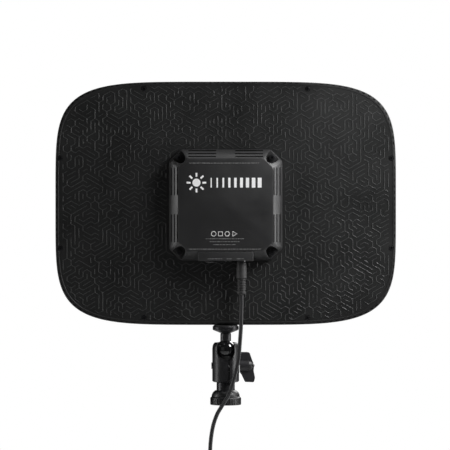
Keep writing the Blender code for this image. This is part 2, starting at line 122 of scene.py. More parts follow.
class PanelLightSettings(bpy.types.PropertyGroup):
    """Sizes and colours that a user would change."""

    relief_pitch: FloatProperty(name="Relief pitch", description="Spacing of the relief's lattice",
                                default=0.0047, min=0.002, unit="LENGTH")
    relief_width: FloatProperty(name="Relief line", description="Width of a relief line",
                                default=0.0008, min=0.0002, unit="LENGTH")
    relief_height: FloatProperty(name="Relief height", description="How far a relief line stands up",
                                 default=0.00028, min=0.0001, unit="LENGTH")
    relief_seed: IntProperty(name="Relief seed", description="Which layout of the relief is drawn",
                             default=11)
    slot_pitch: FloatProperty(name="Vent pitch", description="Spacing of the vent slots along the rim",
                              default=0.0064, min=0.003, unit="LENGTH")
    lead_diameter: FloatProperty(name="Lead width", description="Width of the twin supply lead",
                                 default=0.0041, min=0.002, unit="LENGTH")
    shell_colour: FloatVectorProperty(name="Shell colour", description="Powder coat of the panel's shell",
                                      default=(0.0080, 0.0082, 0.0082), subtype="COLOR", size=3)
    plastic_colour: FloatVectorProperty(name="Plastic colour", description="Moulded black parts",
                                        default=(0.0135, 0.0135, 0.0140), subtype="COLOR", size=3)
    print_colour: FloatVectorProperty(name="Print colour", description="White marks on the control box",
                                      default=(0.86, 0.86, 0.86), subtype="COLOR", size=3)
    key_power: FloatProperty(name="Key light", description="Power of the light at the upper right",
                             default=6.0, min=0.0, unit="POWER")
    fill_power: FloatProperty(name="Fill light", description="Power of the wide soft light by the camera",
                              default=1.0, min=0.0, unit="POWER")
    floor_power: FloatProperty(name="Floor light", description="Power of the wide light over the floor",
                               default=12.0, min=0.0, unit="POWER")
    strip_power: FloatProperty(name="Strip lights", description="Power of the strips that light the edges",
                               default=4.5, min=0.0, unit="POWER")


def settings():
    return bpy.context.scene.panel_light


# ---- modelling helpers --------------------------------------------------------------------

def deselect():
    if bpy.context.object and bpy.context.mode != "OBJECT":
        bpy.ops.object.mode_set(mode="OBJECT")
    bpy.ops.object.select_all(action="DESELECT")


def activate(obj):
    deselect()
    obj.select_set(True)
    bpy.context.view_layer.objects.active = obj
    return obj


def new_piece(name):
    """Names the primitive that was just added."""
    obj = bpy.context.object
    obj.name = obj.data.name = name
    return obj


def apply_place(obj):
    activate(obj)
    bpy.ops.object.transform_apply(location=True, rotation=True, scale=True)


def smoothed(angle=SMOOTH_ANGLE):
    """Shades the active piece smooth wherever its faces meet at less than the angle."""
    bpy.ops.object.shade_smooth_by_angle(angle=math.radians(angle))


def tidy_mesh(obj, angle=SMOOTH_ANGLE):
    """Merges doubled vertices, turns the faces outwards and shades the piece smooth by angle."""
    activate(obj)
    bpy.ops.object.mode_set(mode="EDIT")
    bpy.ops.mesh.select_all(action="SELECT")
    bpy.ops.mesh.remove_doubles(threshold=MERGE_DISTANCE * MM)
    bpy.ops.mesh.normals_make_consistent(inside=False)
    bpy.ops.object.mode_set(mode="OBJECT")
    smoothed(angle)


def drawn(name, outline, steps, axis="Z", centre=(0, 0), ring=False, angle=SMOOTH_ANGLE):
    """A solid drawn out from an outline: at each step it is extruded to a height and scaled.

    outline holds points in millimetres, steps hold (scale u, scale v, height). The height runs along
    the axis, and centre gives the other two coordinates of its line. A ring closes on its first loop.
    Its leftover caps are found by their number of sides, so its outline has any number but four.
    """
    way = -1 if axis == "Y" else 1
    deselect()
    bpy.ops.mesh.primitive_circle_add(vertices=len(outline), radius=MM, fill_type="NGON")
    obj = new_piece(name)
    su, sv, height = steps[0]
    for vertex, (u, v) in zip(obj.data.vertices, outline):
        vertex.co = Vector((u * su, v * sv, way * height)) * MM
    bpy.ops.object.mode_set(mode="EDIT")
    bpy.ops.mesh.select_all(action="SELECT")
    for nu, nv, nh in list(steps[1:]) + ([steps[0]] if ring else []):
        bpy.ops.mesh.extrude_region_move(
            TRANSFORM_OT_translate={"value": (0, 0, way * (nh - height) * MM), "orient_type": "GLOBAL"})
        if (nu, nv) != (su, sv):
            bpy.ops.transform.resize(value=(nu / su, nv / sv, 1), center_override=(0, 0, way * nh * MM))
        su, sv, height = nu, nv, nh
    if ring:
        bpy.ops.mesh.delete(type="ONLY_FACE")
        bpy.ops.mesh.select_all(action="SELECT")
        bpy.ops.mesh.remove_doubles(threshold=MERGE_DISTANCE * MM)
        bpy.ops.mesh.select_face_by_sides(number=len(outline), type="EQUAL", extend=False)
        bpy.ops.mesh.delete(type="ONLY_FACE")
    bpy.ops.object.mode_set(mode="OBJECT")
    turn = {"Z": (0, 0, 0), "Y": (math.pi / 2, 0, 0), "X": (0, math.pi / 2, 0)}[axis]
    u, v = centre
    place = {"Z": (u, v, 0), "Y": (u, 0, v), "X": (0, u, v)}[axis]
    obj.rotation_euler = turn
    obj.location = Vector(place) * MM
    apply_place(obj)
    tidy_mesh(obj, angle)
    return obj


def circle(count):
    return [(math.cos(math.tau * i / count), math.sin(math.tau * i / count)) for i in range(count)]


def turned(name, profile, axis="Z", centre=(0, 0), sides=64, ring=False, angle=SMOOTH_ANGLE):
    """A turned solid from its profile of (radius, height) points."""
    return drawn(name, circle(sides), [(r, r, h) for r, h in profile], axis, centre, ring, angle)


def rounded(profile, radius=0.4, steps=3, closed=False):
    """The profile with its corners rounded off, so that edges catch the light."""
    result, last = [], len(profile) - 1
    for i, point in enumerate(profile):
        if not closed and i in (0, last):
            result.append(point)
            continue
        a, p, b = Vector(profile[i - 1]), Vector(point), Vector(profile[(i + 1) % len(profile)])
        reach = min(radius, (a - p).length * 0.45, (b - p).length * 0.45)
        start, end = p + (a - p).normalized() * reach, p + (b - p).normalized() * reach
        for k in range(steps + 1):
            t = k / steps
            result.append(tuple(start * (1 - t) ** 2 + p * 2 * t * (1 - t) + end * t ** 2))
    return result


def round_rectangle(half_u, half_v, radius, steps):
    """A rectangle's outline about its middle, with rounded corners."""
    corners = [(half_u, half_v), (-half_u, half_v), (-half_u, -half_v), (half_u, -half_v)]
    return rounded(corners, radius, steps, closed=True)


def halves(low, high, axes):
    """The middle and the half sizes of a box along two axes."""
    pairs = [(getattr(low, axis), getattr(high, axis)) for axis in axes]
    return [(a + b) / 2 for a, b in pairs] + [(b - a) / 2 for a, b in pairs]


def node_centre(node, axes="xz"):
    return tuple(halves(*box_mm(node), axes)[:2])


def block(name, low, high, bevel=0.0, segments=2):
    """A box between two corners in millimetres, with bevelled edges."""
    deselect()
    middle, size = (Vector(low) + Vector(high)) / 2 * MM, (Vector(high) - Vector(low)) * MM
    bpy.ops.mesh.primitive_cube_add(size=1, location=middle, scale=size)
    obj = new_piece(name)
    apply_place(obj)
    if bevel:
        bpy.ops.object.mode_set(mode="EDIT")
        bpy.ops.mesh.select_all(action="SELECT")
        bpy.ops.mesh.bevel(offset=bevel * MM, segments=segments, affect="EDGES")
        bpy.ops.object.mode_set(mode="OBJECT")
    return obj


def joined(name, pieces):
    """Several meshes joined as one piece."""
    deselect()
    for piece in pieces:
        piece.select_set(True)
    bpy.context.view_layer.objects.active = pieces[0]
    bpy.ops.object.join()
    return new_piece(name)


def cut(obj, *cutters, operation="DIFFERENCE"):
    """Takes each cutter out of the piece, or adds it, and removes the cutter."""
    for cutter in cutters:
        step = obj.modifiers.new("cut", "BOOLEAN")
        step.operation = operation
        step.solver = "EXACT"
        step.object = cutter
        activate(obj)
        bpy.ops.object.modifier_apply(modifier=step.name)
        bpy.data.objects.remove(cutter, do_unlink=True)
    smoothed()
    return obj


def softened(obj, width, segments=2, limit=35.0, angle=40.0):
    """A bevel on the piece's sharp edges, applied, with smooth shading."""
    step = obj.modifiers.new("edges", "BEVEL")
    step.width = width * MM
    step.segments = segments
    step.limit_method = "ANGLE"
    step.angle_limit = math.radians(limit)
    step.harden_normals = False
    activate(obj)
    bpy.ops.object.modifier_apply(modifier=step.name)
    smoothed(angle)
    return obj


def copy_of(obj, name, offset):
    """A copy with its own mesh, moved by offset in millimetres."""
    twin = obj.copy()
    twin.data = obj.data.copy()
    twin.name = twin.data.name = name
    bpy.context.collection.objects.link(twin)
    twin.data.transform(Matrix.Translation(Vector(offset) * MM))
    return twin


def turned_in_place(obj, degrees, x, z):
    """Turns the piece about the Y axis and moves it to a place on the panel."""
    turn = Matrix.Rotation(math.radians(degrees), 4, "Y")
    obj.data.transform(Matrix.Translation(Vector((x, 0, z)) * MM) @ turn)
    return obj


def finish(obj, body, finish_name, slot, *nodes):
    """Gives the piece its finish and body, and hides the CAD nodes that it stands for; its slot is not used.
    """
    obj.data.materials.clear()
    obj.data.materials.append(look(finish_name))
    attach(obj, body)
    if nodes:
        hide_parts(*nodes)
    return obj


# ---- materials ----------------------------------------------------------------------------

def add_node(tree, kind, place, **values):
    node = tree.nodes.new(kind)
    node.location = place
    for key, value in values.items():
        if hasattr(node, key):
            setattr(node, key, value)
        else:
            node.inputs[key.replace("_", " ")].default_value = value
    return node


def surface_group():
    """Shared node group: fine grain height, broad tone and an edge mask, all varying over the surface."""
    group = bpy.data.node_groups.get("surface variation")
    if group:
        return group
    group = bpy.data.node_groups.new("surface variation", "ShaderNodeTree")
    for name, default in (("Grain Scale", 900.0), ("Tone Scale", 22.0), ("Stretch", 1.0)):
        socket = group.interface.new_socket(name, in_out="INPUT", socket_type="NodeSocketFloat")
        socket.default_value = default
    for name in ("Grain", "Tone", "Edge"):
        group.interface.new_socket(name, in_out="OUTPUT", socket_type="NodeSocketFloat")
    start = add_node(group, "NodeGroupInput", (-700, 0))
    end = add_node(group, "NodeGroupOutput", (500, 0))
    where = add_node(group, "ShaderNodeTexCoord", (-700, -200))
    stretch = add_node(group, "ShaderNodeCombineXYZ", (-500, -100), X=1.0, Y=1.0)
    stretched = add_node(group, "ShaderNodeVectorMath", (-300, -200), operation="MULTIPLY")
    grain = add_node(group, "ShaderNodeTexNoise", (-100, 100), Detail=2.0, Roughness=0.6)
    pits = add_node(group, "ShaderNodeTexVoronoi", (-100, -150))
    mixed = add_node(group, "ShaderNodeMath", (150, 100), operation="MULTIPLY_ADD")
    tone = add_node(group, "ShaderNodeTexNoise", (-100, -400), Detail=4.0, Roughness=0.55)
    shape = add_node(group, "ShaderNodeNewGeometry", (-100, -600))
    edge = add_node(group, "ShaderNodeMapRange", (150, -600))
    edge.inputs["From Min"].default_value = 0.52
    edge.inputs["From Max"].default_value = 0.62
    mixed.inputs[1].default_value = 0.5
    link = group.links.new
    link(start.outputs["Stretch"], stretch.inputs["Z"])
    link(where.outputs["Object"], stretched.inputs[0])
    link(stretch.outputs[0], stretched.inputs[1])
    for texture in (grain, pits, tone):
        link(stretched.outputs[0], texture.inputs["Vector"])
    link(start.outputs["Grain Scale"], grain.inputs["Scale"])
    link(start.outputs["Grain Scale"], pits.inputs["Scale"])
    link(start.outputs["Tone Scale"], tone.inputs["Scale"])
    link(pits.outputs["Distance"], mixed.inputs[0])
    link(grain.outputs["Fac"], mixed.inputs[2])
    link(mixed.outputs[0], end.inputs["Grain"])
    link(tone.outputs["Fac"], end.inputs["Tone"])
    link(shape.outputs["Pointiness"], edge.inputs["Value"])
    link(edge.outputs[0], end.inputs["Edge"])
    return group


def finish_material(name, colour, rough, metallic=0.0, grain=900.0, bump=0.05, tone=22.0, spread=0.25,
                    wear=0.10, wear_colour=None, stretch=1.0, coat=0.0, specular=0.5, rough_spread=0.10,
                    ior=1.5):
    """A varied finish: two close tones, worn edges, uneven gloss and a fine grain."""
    made = bpy.data.materials.new(name)
    made.use_nodes = True
    tree = made.node_tree
    shader = tree.nodes["Principled BSDF"]
    shader.inputs["Metallic"].default_value = metallic
    shader.inputs["Coat Weight"].default_value = coat
    shader.inputs["Specular IOR Level"].default_value = specular
    shader.inputs["IOR"].default_value = ior
    vary = add_node(tree, "ShaderNodeGroup", (-900, 0), node_tree=surface_group())
    vary.inputs["Grain Scale"].default_value = grain
    vary.inputs["Tone Scale"].default_value = tone
    vary.inputs["Stretch"].default_value = stretch
    base = add_node(tree, "ShaderNodeMix", (-500, 200), data_type="RGBA")
    worn = add_node(tree, "ShaderNodeMix", (-300, 200), data_type="RGBA")
    rough_map = add_node(tree, "ShaderNodeMapRange", (-500, -100))
    amount = add_node(tree, "ShaderNodeMath", (-500, 400), operation="MULTIPLY")
    bumps = add_node(tree, "ShaderNodeBump", (-300, -300), Strength=bump, Distance=0.0002)
    dark, light = [c * (1 - spread) for c in colour], [min(1.0, c * (1 + spread)) for c in colour]
    edge_colour = wear_colour or [min(1.0, c * 2.2 + 0.01) for c in colour]
    base.inputs["A"].default_value = (*dark, 1.0)
    base.inputs["B"].default_value = (*light, 1.0)
    worn.inputs["B"].default_value = (*edge_colour, 1.0)
    amount.inputs[1].default_value = wear
    rough_map.inputs["From Min"].default_value = 0.3
    rough_map.inputs["From Max"].default_value = 0.7
    rough_map.inputs["To Min"].default_value = max(0.02, rough - rough_spread)
    rough_map.inputs["To Max"].default_value = min(1.0, rough + rough_spread)
    link = tree.links.new
    link(vary.outputs["Tone"], base.inputs["Factor"])
    link(base.outputs["Result"], worn.inputs["A"])
    link(vary.outputs["Edge"], amount.inputs[0])
    link(amount.outputs[0], worn.inputs["Factor"])
    link(worn.outputs["Result"], shader.inputs["Base Color"])
    link(vary.outputs["Tone"], rough_map.inputs["Value"])
    link(rough_map.outputs[0], shader.inputs["Roughness"])
    link(vary.outputs["Grain"], bumps.inputs["Height"])
    link(bumps.outputs["Normal"], shader.inputs["Normal"])
    return made


# A finish's colour, or a setting and how strongly it is used, its roughness and its other values.
FINISHES = {
    "black powder coat": (("shell_colour", 1.0), 0.52, {"grain": 1400, "bump": 0.16, "spread": 0.2,
                                                        "specular": 0.3}),
    # The relief takes the shell colour made 2.6 times lighter: a painted highlight on the raised lines.
    "relief lacquer": (("shell_colour", 2.6), 0.34, {"grain": 1200, "bump": 0.04}),
    "moulded black": (("plastic_colour", 1.0), 0.46, {"grain": 1700, "bump": 0.12, "spread": 0.18}),
    "satin black": ((0.011, 0.011, 0.012), 0.40, {"grain": 2200, "bump": 0.05, "wear": 0.25, "specular": 0.35,
                                                  "wear_colour": (0.05, 0.05, 0.055)}),
    "anodised black": ((0.020, 0.020, 0.022), 0.36, {"metallic": 0.4, "grain": 2400, "bump": 0.04,
                                                     "wear": 0.3, "wear_colour": (0.10, 0.10, 0.105),
                                                     "specular": 0.4}),
    "polished black": ((0.010, 0.010, 0.011), 0.10, {"grain": 600, "bump": 0.01, "coat": 0.6,
                                                     "rough_spread": 0.04}),
    "blackened steel": ((0.030, 0.030, 0.032), 0.36, {"metallic": 0.8, "grain": 1500, "bump": 0.06}),
    "turned steel": ((0.55, 0.55, 0.56), 0.28, {"metallic": 1.0, "bump": 0.06, "stretch": 8.0}),
    "plain brass": ((0.60, 0.43, 0.20), 0.28, {"metallic": 1.0, "stretch": 6.0}),
    "mill aluminium": ((0.68, 0.68, 0.70), 0.38, {"metallic": 1.0, "grain": 1200, "bump": 0.06,
                                                  "stretch": 6.0}),
    "wound copper": ((0.62, 0.25, 0.10), 0.30, {"metallic": 1.0}),
    "lamp phosphor": ((0.85, 0.62, 0.10), 0.45, {"grain": 2000, "spread": 0.06, "wear": 0.0}),
    "cable sheath": ((0.019, 0.019, 0.020), 0.42, {"grain": 1800, "bump": 0.08, "spread": 0.2, "wear": 0.15}),
    "soft rubber": ((0.013, 0.013, 0.013), 0.62, {"grain": 1500, "bump": 0.15}),
    "woven strap": ((0.016, 0.016, 0.017), 0.85, {"grain": 2600, "bump": 0.6, "stretch": 0.4}),
    "opal sheet": ((0.86, 0.86, 0.84), 0.42, {"grain": 2600, "bump": 0.10, "spread": 0.02, "wear": 0.0,
                                              "specular": 0.4}),
    "clear acrylic": ((0.88, 0.91, 0.93), 0.08, {"grain": 800, "bump": 0.01, "spread": 0.02, "wear": 0.0,
                                                 "ior": 1.49}),
    "white film": ((0.85, 0.85, 0.85), 0.5, {"grain": 1500, "bump": 0.04, "spread": 0.03, "wear": 0.0}),
    "circuit board": ((0.02, 0.13, 0.06), 0.38, {"grain": 700, "bump": 0.10, "spread": 0.35, "coat": 0.3}),
    "printed white": (("print_colour", 1.0), 0.55, {"grain": 2400, "bump": 0.03, "spread": 0.05,
                                                    "wear": 0.0}),
    "faint print": (("print_colour", 0.2), 0.6, {"grain": 2400, "bump": 0.03, "spread": 0.3, "tone": 400,
                                                 "wear": 0.0}),
    "pale floor": ((0.80, 0.80, 0.80), 0.7, {"grain": 40, "bump": 0.01, "tone": 2, "spread": 0.01,
                                             "wear": 0.0}),
}


def look(name):
    """The material of a finish, made the first time that a piece asks for it."""
    made = bpy.data.materials.get(name)
    if made:
        return made
    colour, rough, values = FINISHES[name]
    if len(colour) == 2:
        setting, strength = colour
        colour = [c * strength for c in getattr(settings(), setting)]
    return finish_material(name, colour, rough, **values)


# ---- outlines -----------------------------------------------------------------------------

OVAL_PARTS = 7200


def oval_point(t):
    c, s = math.cos(t), math.sin(t)
    k = 2.0 / OVAL_POWER
    return Vector((PANEL_A * math.copysign(abs(c) ** k, c), PANEL_B * math.copysign(abs(s) ** k, s)))


def oval_outline(lengths):
    """Points on the panel's outline whose spacing along it repeats the given list of lengths."""
    fine = [oval_point(math.tau * i / OVAL_PARTS) for i in range(OVAL_PARTS + 1)]
    marks = [0.0]
    for a, b in zip(fine, fine[1:]):
        marks.append(marks[-1] + (b - a).length)
    repeats = round(marks[-1] / sum(lengths))
    scale = marks[-1] / (repeats * sum(lengths))
    wanted, run = [], 0.0
    for _ in range(repeats):
        for length in lengths:
            wanted.append(run)
            run += length * scale
    result, k = [], 0
    for want in wanted:
        while marks[k + 1] < want:
            k += 1
        result.append(tuple(fine[k].lerp(fine[k + 1], (want - marks[k]) / (marks[k + 1] - marks[k]))))
    return result


def oval_steps(profile):
    """Steps for drawn() from (inset, depth) points of the panel's edge."""
    return [((PANEL_A - inset) / PANEL_A, (PANEL_B - inset) / PANEL_B, y) for inset, y in profile]


def corner_cut_outline(half_x, half_z, corner):
    """A rectangle with its corners cut off and the cuts' ends rounded."""
    sharp = []
    for sx, sz in ((1, 1), (-1, 1), (-1, -1), (1, -1)):
        pair = [(sx * half_x, sz * (half_z - corner)), (sx * (half_x - corner), sz * half_z)]
        sharp += pair if sx * sz > 0 else pair[::-1]
    return rounded(sharp, 2.5, 4, closed=True)


# ---- panel --------------------------------------------------------------------------------

def panel_screw_places():
    """Centres of the eight screws round the panel, from their CAD nodes."""
    return [node_centre(f"cover_screw_{number}") for number in range(1, 9)]


def box_screw_places():
    return [node_centre(f"box_screw_{number}") for number in range(1, 5)]


FIELD_INSET = 3.6  # from the panel's edge to the sunk field
FIELD_STEP = 0.35  # how far the field is sunk
SHELL_WALL = 1.8
SLOT_DEPTH = 1.1
SLOT_EDGE = 0.06
PLAIN_RIM = 9.0  # no slot this close to a screw
SCREW_CLEAR = 4.6  # no relief this close to a screw


def make_rear_shell():
    """The shell behind the panel: vent slots along its rim, a bevel line and a sunk field."""
    pitch = settings().slot_pitch / MM
    outline = oval_outline([pitch * 0.25, pitch * 0.27, pitch * 0.24, pitch * 0.24])
    rear, wall = PANEL_REAR, SHELL_WALL
    profile = [(2.0, rear + wall), (2.0, PARTING), (0.3, PARTING), (0.0, PARTING - 0.3), (0.0, rear + 2.4),
               (0.12, rear + 1.5), (0.45, rear + 0.75), (0.85, rear + 0.32), (1.85, rear + 0.08),
               (2.1, rear + 0.02), (2.5, rear), (3.2, rear), (FIELD_INSET, rear + FIELD_STEP)]
    shell = drawn("rear_shell", outline, oval_steps(profile), "Y", (0, PANEL_Z))
    cut_rim_slots(shell)
    holes = [turned(f"hole_{n}", [(2.8, rear - 1), (2.8, rear + wall + 1)], "Y", place, 24)
             for n, place in enumerate(panel_screw_places())]
    holes += [turned(f"box_hole_{n}", [(1.8, rear - 1), (1.8, rear + wall + 1)], "Y", place, 16)
              for n, place in enumerate(box_screw_places())]
    stud_hole = turned("stud_hole", [(3.8, SHELL_LOW.z - 2), (3.8, SHELL_LOW.z + 4)], "Z", (0, 0), 24)
    cut(shell, joined("holes", holes), stud_hole)
    finish(shell, "panel", "black powder coat", "panel_shell", "rear_cover")


def cut_rim_slots(shell):
    """Sinks every other pair of faces in the rim's slot band, with a plain stretch by each screw."""
    activate(shell)
    bpy.ops.object.mode_set(mode="EDIT")
    bpy.ops.mesh.select_mode(type="FACE")
    bpy.ops.mesh.select_all(action="DESELECT")
    mesh = bmesh.from_edit_mesh(shell.data)
    band = []
    for face in mesh.faces:
        middle = face.calc_center_median() / MM
        if len(face.verts) == 4 and PANEL_REAR + 0.1 < middle.y < PANEL_REAR + 0.3 and face.normal.y < -0.9:
            band.append((math.atan2((middle.z - PANEL_Z) / PANEL_B, middle.x / PANEL_A), face, middle))
    band.sort(key=lambda item: item[0])
    screws = panel_screw_places()
    for number, (_, face, middle) in enumerate(band):
        near = min(math.hypot(middle.x - x, middle.z - z) for x, z in screws)
        face.select = number % 4 < 2 and near > PLAIN_RIM
    bmesh.update_edit_mesh(shell.data)
    bpy.ops.mesh.inset(thickness=SLOT_EDGE * MM, depth=0)
    bpy.ops.mesh.extrude_region_move(TRANSFORM_OT_translate={"value": (0, SLOT_DEPTH * MM, 0)})
    bpy.ops.object.mode_set(mode="OBJECT")


def inside_field(x, z, margin, screws):
    """Whether a point lies on the sunk field, clear of the screws and the control box."""
    a, b = PANEL_A - FIELD_INSET - margin, PANEL_B - FIELD_INSET - margin
    if abs(x / a) ** OVAL_POWER + abs(z / b) ** OVAL_POWER > 1:
        return False
    half_x, half_z = (BOX_HIGH.x - BOX_LOW.x) / 2 + 0.4, (BOX_HIGH.z - BOX_LOW.z) / 2 + 0.4
    u, v = abs(x), abs(z + PANEL_Z - BOX_Z)
    if u < half_x and v < half_z and u + v < half_x + half_z - 11.0:
        return False
    return all(math.hypot(x - sx, z + PANEL_Z - sz) > SCREW_CLEAR for sx, sz in screws)


def relief_edges():
    """A maze on a triangular lattice: lines meet only at wide angles, and never close a loop."""
    pitch = settings().relief_pitch / MM
    chance = random.Random(settings().relief_seed)
    wide, tall = pitch * math.sqrt(3) / 2, pitch
    columns, rows = int(PANEL_A / wide) + 1, int(PANEL_B / tall) + 1
    points, screws = {}, panel_screw_places()
    for i in range(-columns, columns + 1):
        for j in range(-rows, rows + 1):
            x, z = i * wide, (j + (i % 2) / 2) * tall
            if inside_field(x, z, 1.0, screws):
                points[(i, j)] = (x, z)
    steps = [(0, 1), (1, 0), (1, -1)]
    edges = []
    for i, j in points:
        for di, dj in steps:
            other = (i + di, j + dj + (i % 2 if di else 0))
            if other in points:
                level = 2 * steps.index((di, dj)) + (i if di else j) % 2
                edges.append(((i, j), other, level))
    chance.shuffle(edges)
    root, arms = {p: p for p in points}, {p: [] for p in points}

    def top(p):
        while root[p] != p:
            root[p] = root[root[p]]
            p = root[p]
        return p

    def heading(a, b):
        return (Vector(points[b]) - Vector(points[a])).normalized()

    kept = []
    for a, b, level in edges:
        ahead, back = heading(a, b), heading(b, a)
        sharp = any(ahead.dot(h) > 0.3 for h in arms[a]) or any(back.dot(h) > 0.3 for h in arms[b])
        if sharp or top(a) == top(b):
            continue
        root[top(a)] = top(b)
        arms[a].append(ahead)
        arms[b].append(back)
        kept.append((points[a], points[b], level))
    return kept


LEVEL_STEP = 0.012  # between the heights of bars that cross, so that no two tops lie in one plane


def make_relief():
    """The raised line maze on the panel's sunk field, as flat-topped bars."""
    chosen = settings()
    pitch, width = chosen.relief_pitch / MM, chosen.relief_width / MM
    low, high = PANEL_REAR + FIELD_STEP + 0.1, PANEL_REAR + FIELD_STEP - chosen.relief_height / MM
    outline = round_rectangle(pitch / 2 + width / 2, width / 2, width * 0.4, 1)
    bar = drawn("relief_bar", outline, [(1, 1, low), (1, 1, high + 0.08), (0.98, 0.75, high)], "Y")
    corners = [vertex.co.copy() for vertex in bar.data.vertices]
    sides = [tuple(face.vertices) for face in bar.data.polygons]
    points, faces = [], []
    for (x0, z0), (x1, z1), level in relief_edges():
        middle = Vector(((x0 + x1) / 2, LEVEL_STEP * level, (z0 + z1) / 2 + PANEL_Z))
        place = Matrix.Translation(middle * MM)
        turn = Matrix.Rotation(-math.atan2(z1 - z0, x1 - x0), 4, "Y")
        faces += [tuple(len(points) + v for v in side) for side in sides]
        points += [place @ turn @ corner for corner in corners]
    bpy.data.objects.remove(bar, do_unlink=True)
    mesh = bpy.data.meshes.new("line_relief")
    mesh.from_pydata(points, [], faces)
    relief = bpy.data.objects.new("line_relief", mesh)
    bpy.context.collection.objects.link(relief)
    # The bars are painted lighter than the shell around them: a painted highlight on the raised lines.
    finish(relief, "panel", "relief lacquer", "panel_shell")


def socket_screw(name, places, head, head_y, shank, socket, depth):
    """One screw with a hexagon socket, copied to each place. Heights run from the head to the tip."""
    top, seat, tip = head_y
    profile = rounded([(head * 0.55, top), (head, top + 0.1), (head, seat), (shank, seat), (shank, tip - 0.5),
                       (shank * 0.5, tip)], 0.25, 2)
    first = turned(f"{name}_model", profile, "Y", places[0], 32)
    hole = [(socket, socket, top - 1), (socket, socket, top + depth)]
    cut(first, drawn("socket", circle(6), hole, "Y", places[0]))
    made = [copy_of(first, f"{name}_{n}", (x - places[0][0], 0, z - places[0][1]))
            for n, (x, z) in enumerate(places, 1)]
    bpy.data.objects.remove(first, do_unlink=True)
    return made


def make_panel_screws():
    heights = (-6.5, -5.25, 3.0)
    screws = socket_screw("panel_screw", panel_screw_places(), 2.45, heights, 1.2, 1.15, 0.9)
    for number, screw in enumerate(screws, 1):
        finish(screw, "panel", "blackened steel", "screw_black", f"cover_screw_{number}")


def make_front():
    """The front bezel with its eight screw bosses, and the flat opal sheet behind it."""
    low, high = PARTING + 0.3, PANEL_FRONT
    profile = [(13.5, low), (13.5, high - 0.5), (13.1, high - 0.1), (12.7, high), (1.1, high),
               (0.35, high - 0.35), (0.0, high - 1.0), (0.0, low + 0.2), (0.2, low)]
    bezel = drawn("front_bezel", oval_outline([4.0]), oval_steps(profile), "Y", (0, PANEL_Z), ring=True)
    post = [(1.5, PARTING - 0.3), (1.5, -4.9), (2.2, -4.9), (2.2, PARTING + 1.0)]
    bosses = [turned(f"boss_{n}", post, "Y", place, 20) for n, place in enumerate(panel_screw_places())]
    cut(bezel, joined("bosses", bosses), operation="UNION")
    finish(bezel, "panel", "moulded black", "case_plastic", "front_frame")
    sheet_low, sheet_high = box_mm("diffuser")
    sheet = [(12.4, sheet_low.y), (12.4, sheet_high.y - 0.2), (12.7, sheet_high.y)]
    opal = drawn("opal_sheet", oval_outline([6.0]), oval_steps(sheet), "Y", (0, PANEL_Z))
    finish(opal, "panel", "opal sheet", "opal", "diffuser")


# ---- control box --------------------------------------------------------------------------

# The lid's side, as how far in from its foot at each depth, and a corner pocket's outline round its screw.
SLOPE = [(0.0, -7.3), (0.1, -8.6), (1.0, -11.6), (2.7, -14.9), (4.9, -18.0), (7.0, -20.4), (8.7, -22.0),
         (9.5, -22.7), (10.4, BOX_REAR)]
POCKET = [(7.6, -1.9), (-1.9, 7.6), (-5.2, 3.4), (-6.7, -1.6), (-5.0, -5.0), (-1.6, -6.7), (3.4, -5.2)]
# Each row of vent slots, as how far out from the lid's middle it is and how deep it goes.
LID_SLOT_ROWS = ((55.6, -9.6), (52.3, -12.8), (49.3, -16.4))
LID_SLOT_HALF = (14.35, 0.5)
LID_SLOT_GROUP = 24.0
CONNECTOR_SIDE = 2


def make_box_lid():
    """The lid: rounded slopes, three vent slots in two groups on each side, and sunk corner screws."""
    half_x, half_z = (BOX_HIGH.x - BOX_LOW.x) / 2, (BOX_HIGH.z - BOX_LOW.z) / 2

    def steps(points):
        return [((half_x - inset) / half_x, (half_z - inset) / half_z, y) for inset, y in points]

    outside = corner_cut_outline(half_x, half_z, 12.0)
    lid = drawn("box_lid", outside, steps(SLOPE), "Y", (0, BOX_Z), angle=24)
    hollow = [(2.0, -6.0), (2.0, -7.3), (3.2, -11.6), (6.4, -17.5), (9.6, BOX_REAR + 1.8)]
    cut(lid, drawn("hollow", corner_cut_outline(half_x, half_z, 24.0), steps(hollow), "Y", (0, BOX_Z)))
    cutters = []
    for n, (x, z) in enumerate(box_screw_places()):
        way_x, way_z = math.copysign(1, x), math.copysign(1, z - BOX_Z)
        outline = rounded([(u * way_x, v * way_z) for u, v in POCKET], 1.6, 3, closed=True)
        pocket = drawn(f"pocket_{n}", outline, [(1.04, 1.04, BOX_REAR - 2), (0.94, 0.94, -11.7)], "Y", (x, z))
        thread = turned(f"thread_{n}", [(1.7, -12.5), (1.7, -6.0)], "Y", (x, z), 14)
        cutters += [pocket, thread]
    cut(lid, *cutters)
    slots = []
    half_long, half_thick = LID_SLOT_HALF
    for side in (n for n in range(4) if n != CONNECTOR_SIDE):
        for group in (-1, 1):
            for reach, floor in LID_SLOT_ROWS:
                slot = block(f"slot_{len(slots)}", (-half_long, BOX_REAR - 2, -half_thick),
                             (half_long, floor, half_thick), 0.35)
                slot.data.transform(Matrix.Translation(Vector((group * LID_SLOT_GROUP, 0, reach)) * MM))
                slots.append(turned_in_place(slot, side * 90, 0, BOX_Z))
    cut(lid, joined("slots", slots))
    lip_low, lip_high = box_mm("connector_panel")
    cut(lid, block("opening", (lip_low.x - 0.3, -40, 130), (lip_high.x + 0.3, 0, lip_high.z + 0.3)))
    tidy_mesh(lid, 24)
    finish(lid, "panel", "moulded black", "case_plastic", "box_cover")
    heights = (-13.9, -11.95, -5.0)
    screws = socket_screw("box_lid_screw", box_screw_places(), 3.3, heights, 1.4, 1.5, 1.2)
    for number, screw in enumerate(screws, 1):
        finish(screw, "panel", "blackened steel", "screw_black", f"box_screw_{number}")


HOLE_SPAN = (140, 170)  # heights below and above the connector strip that its holes run between
ROCKER_REST = -7
ROCKER_Z = 149.2


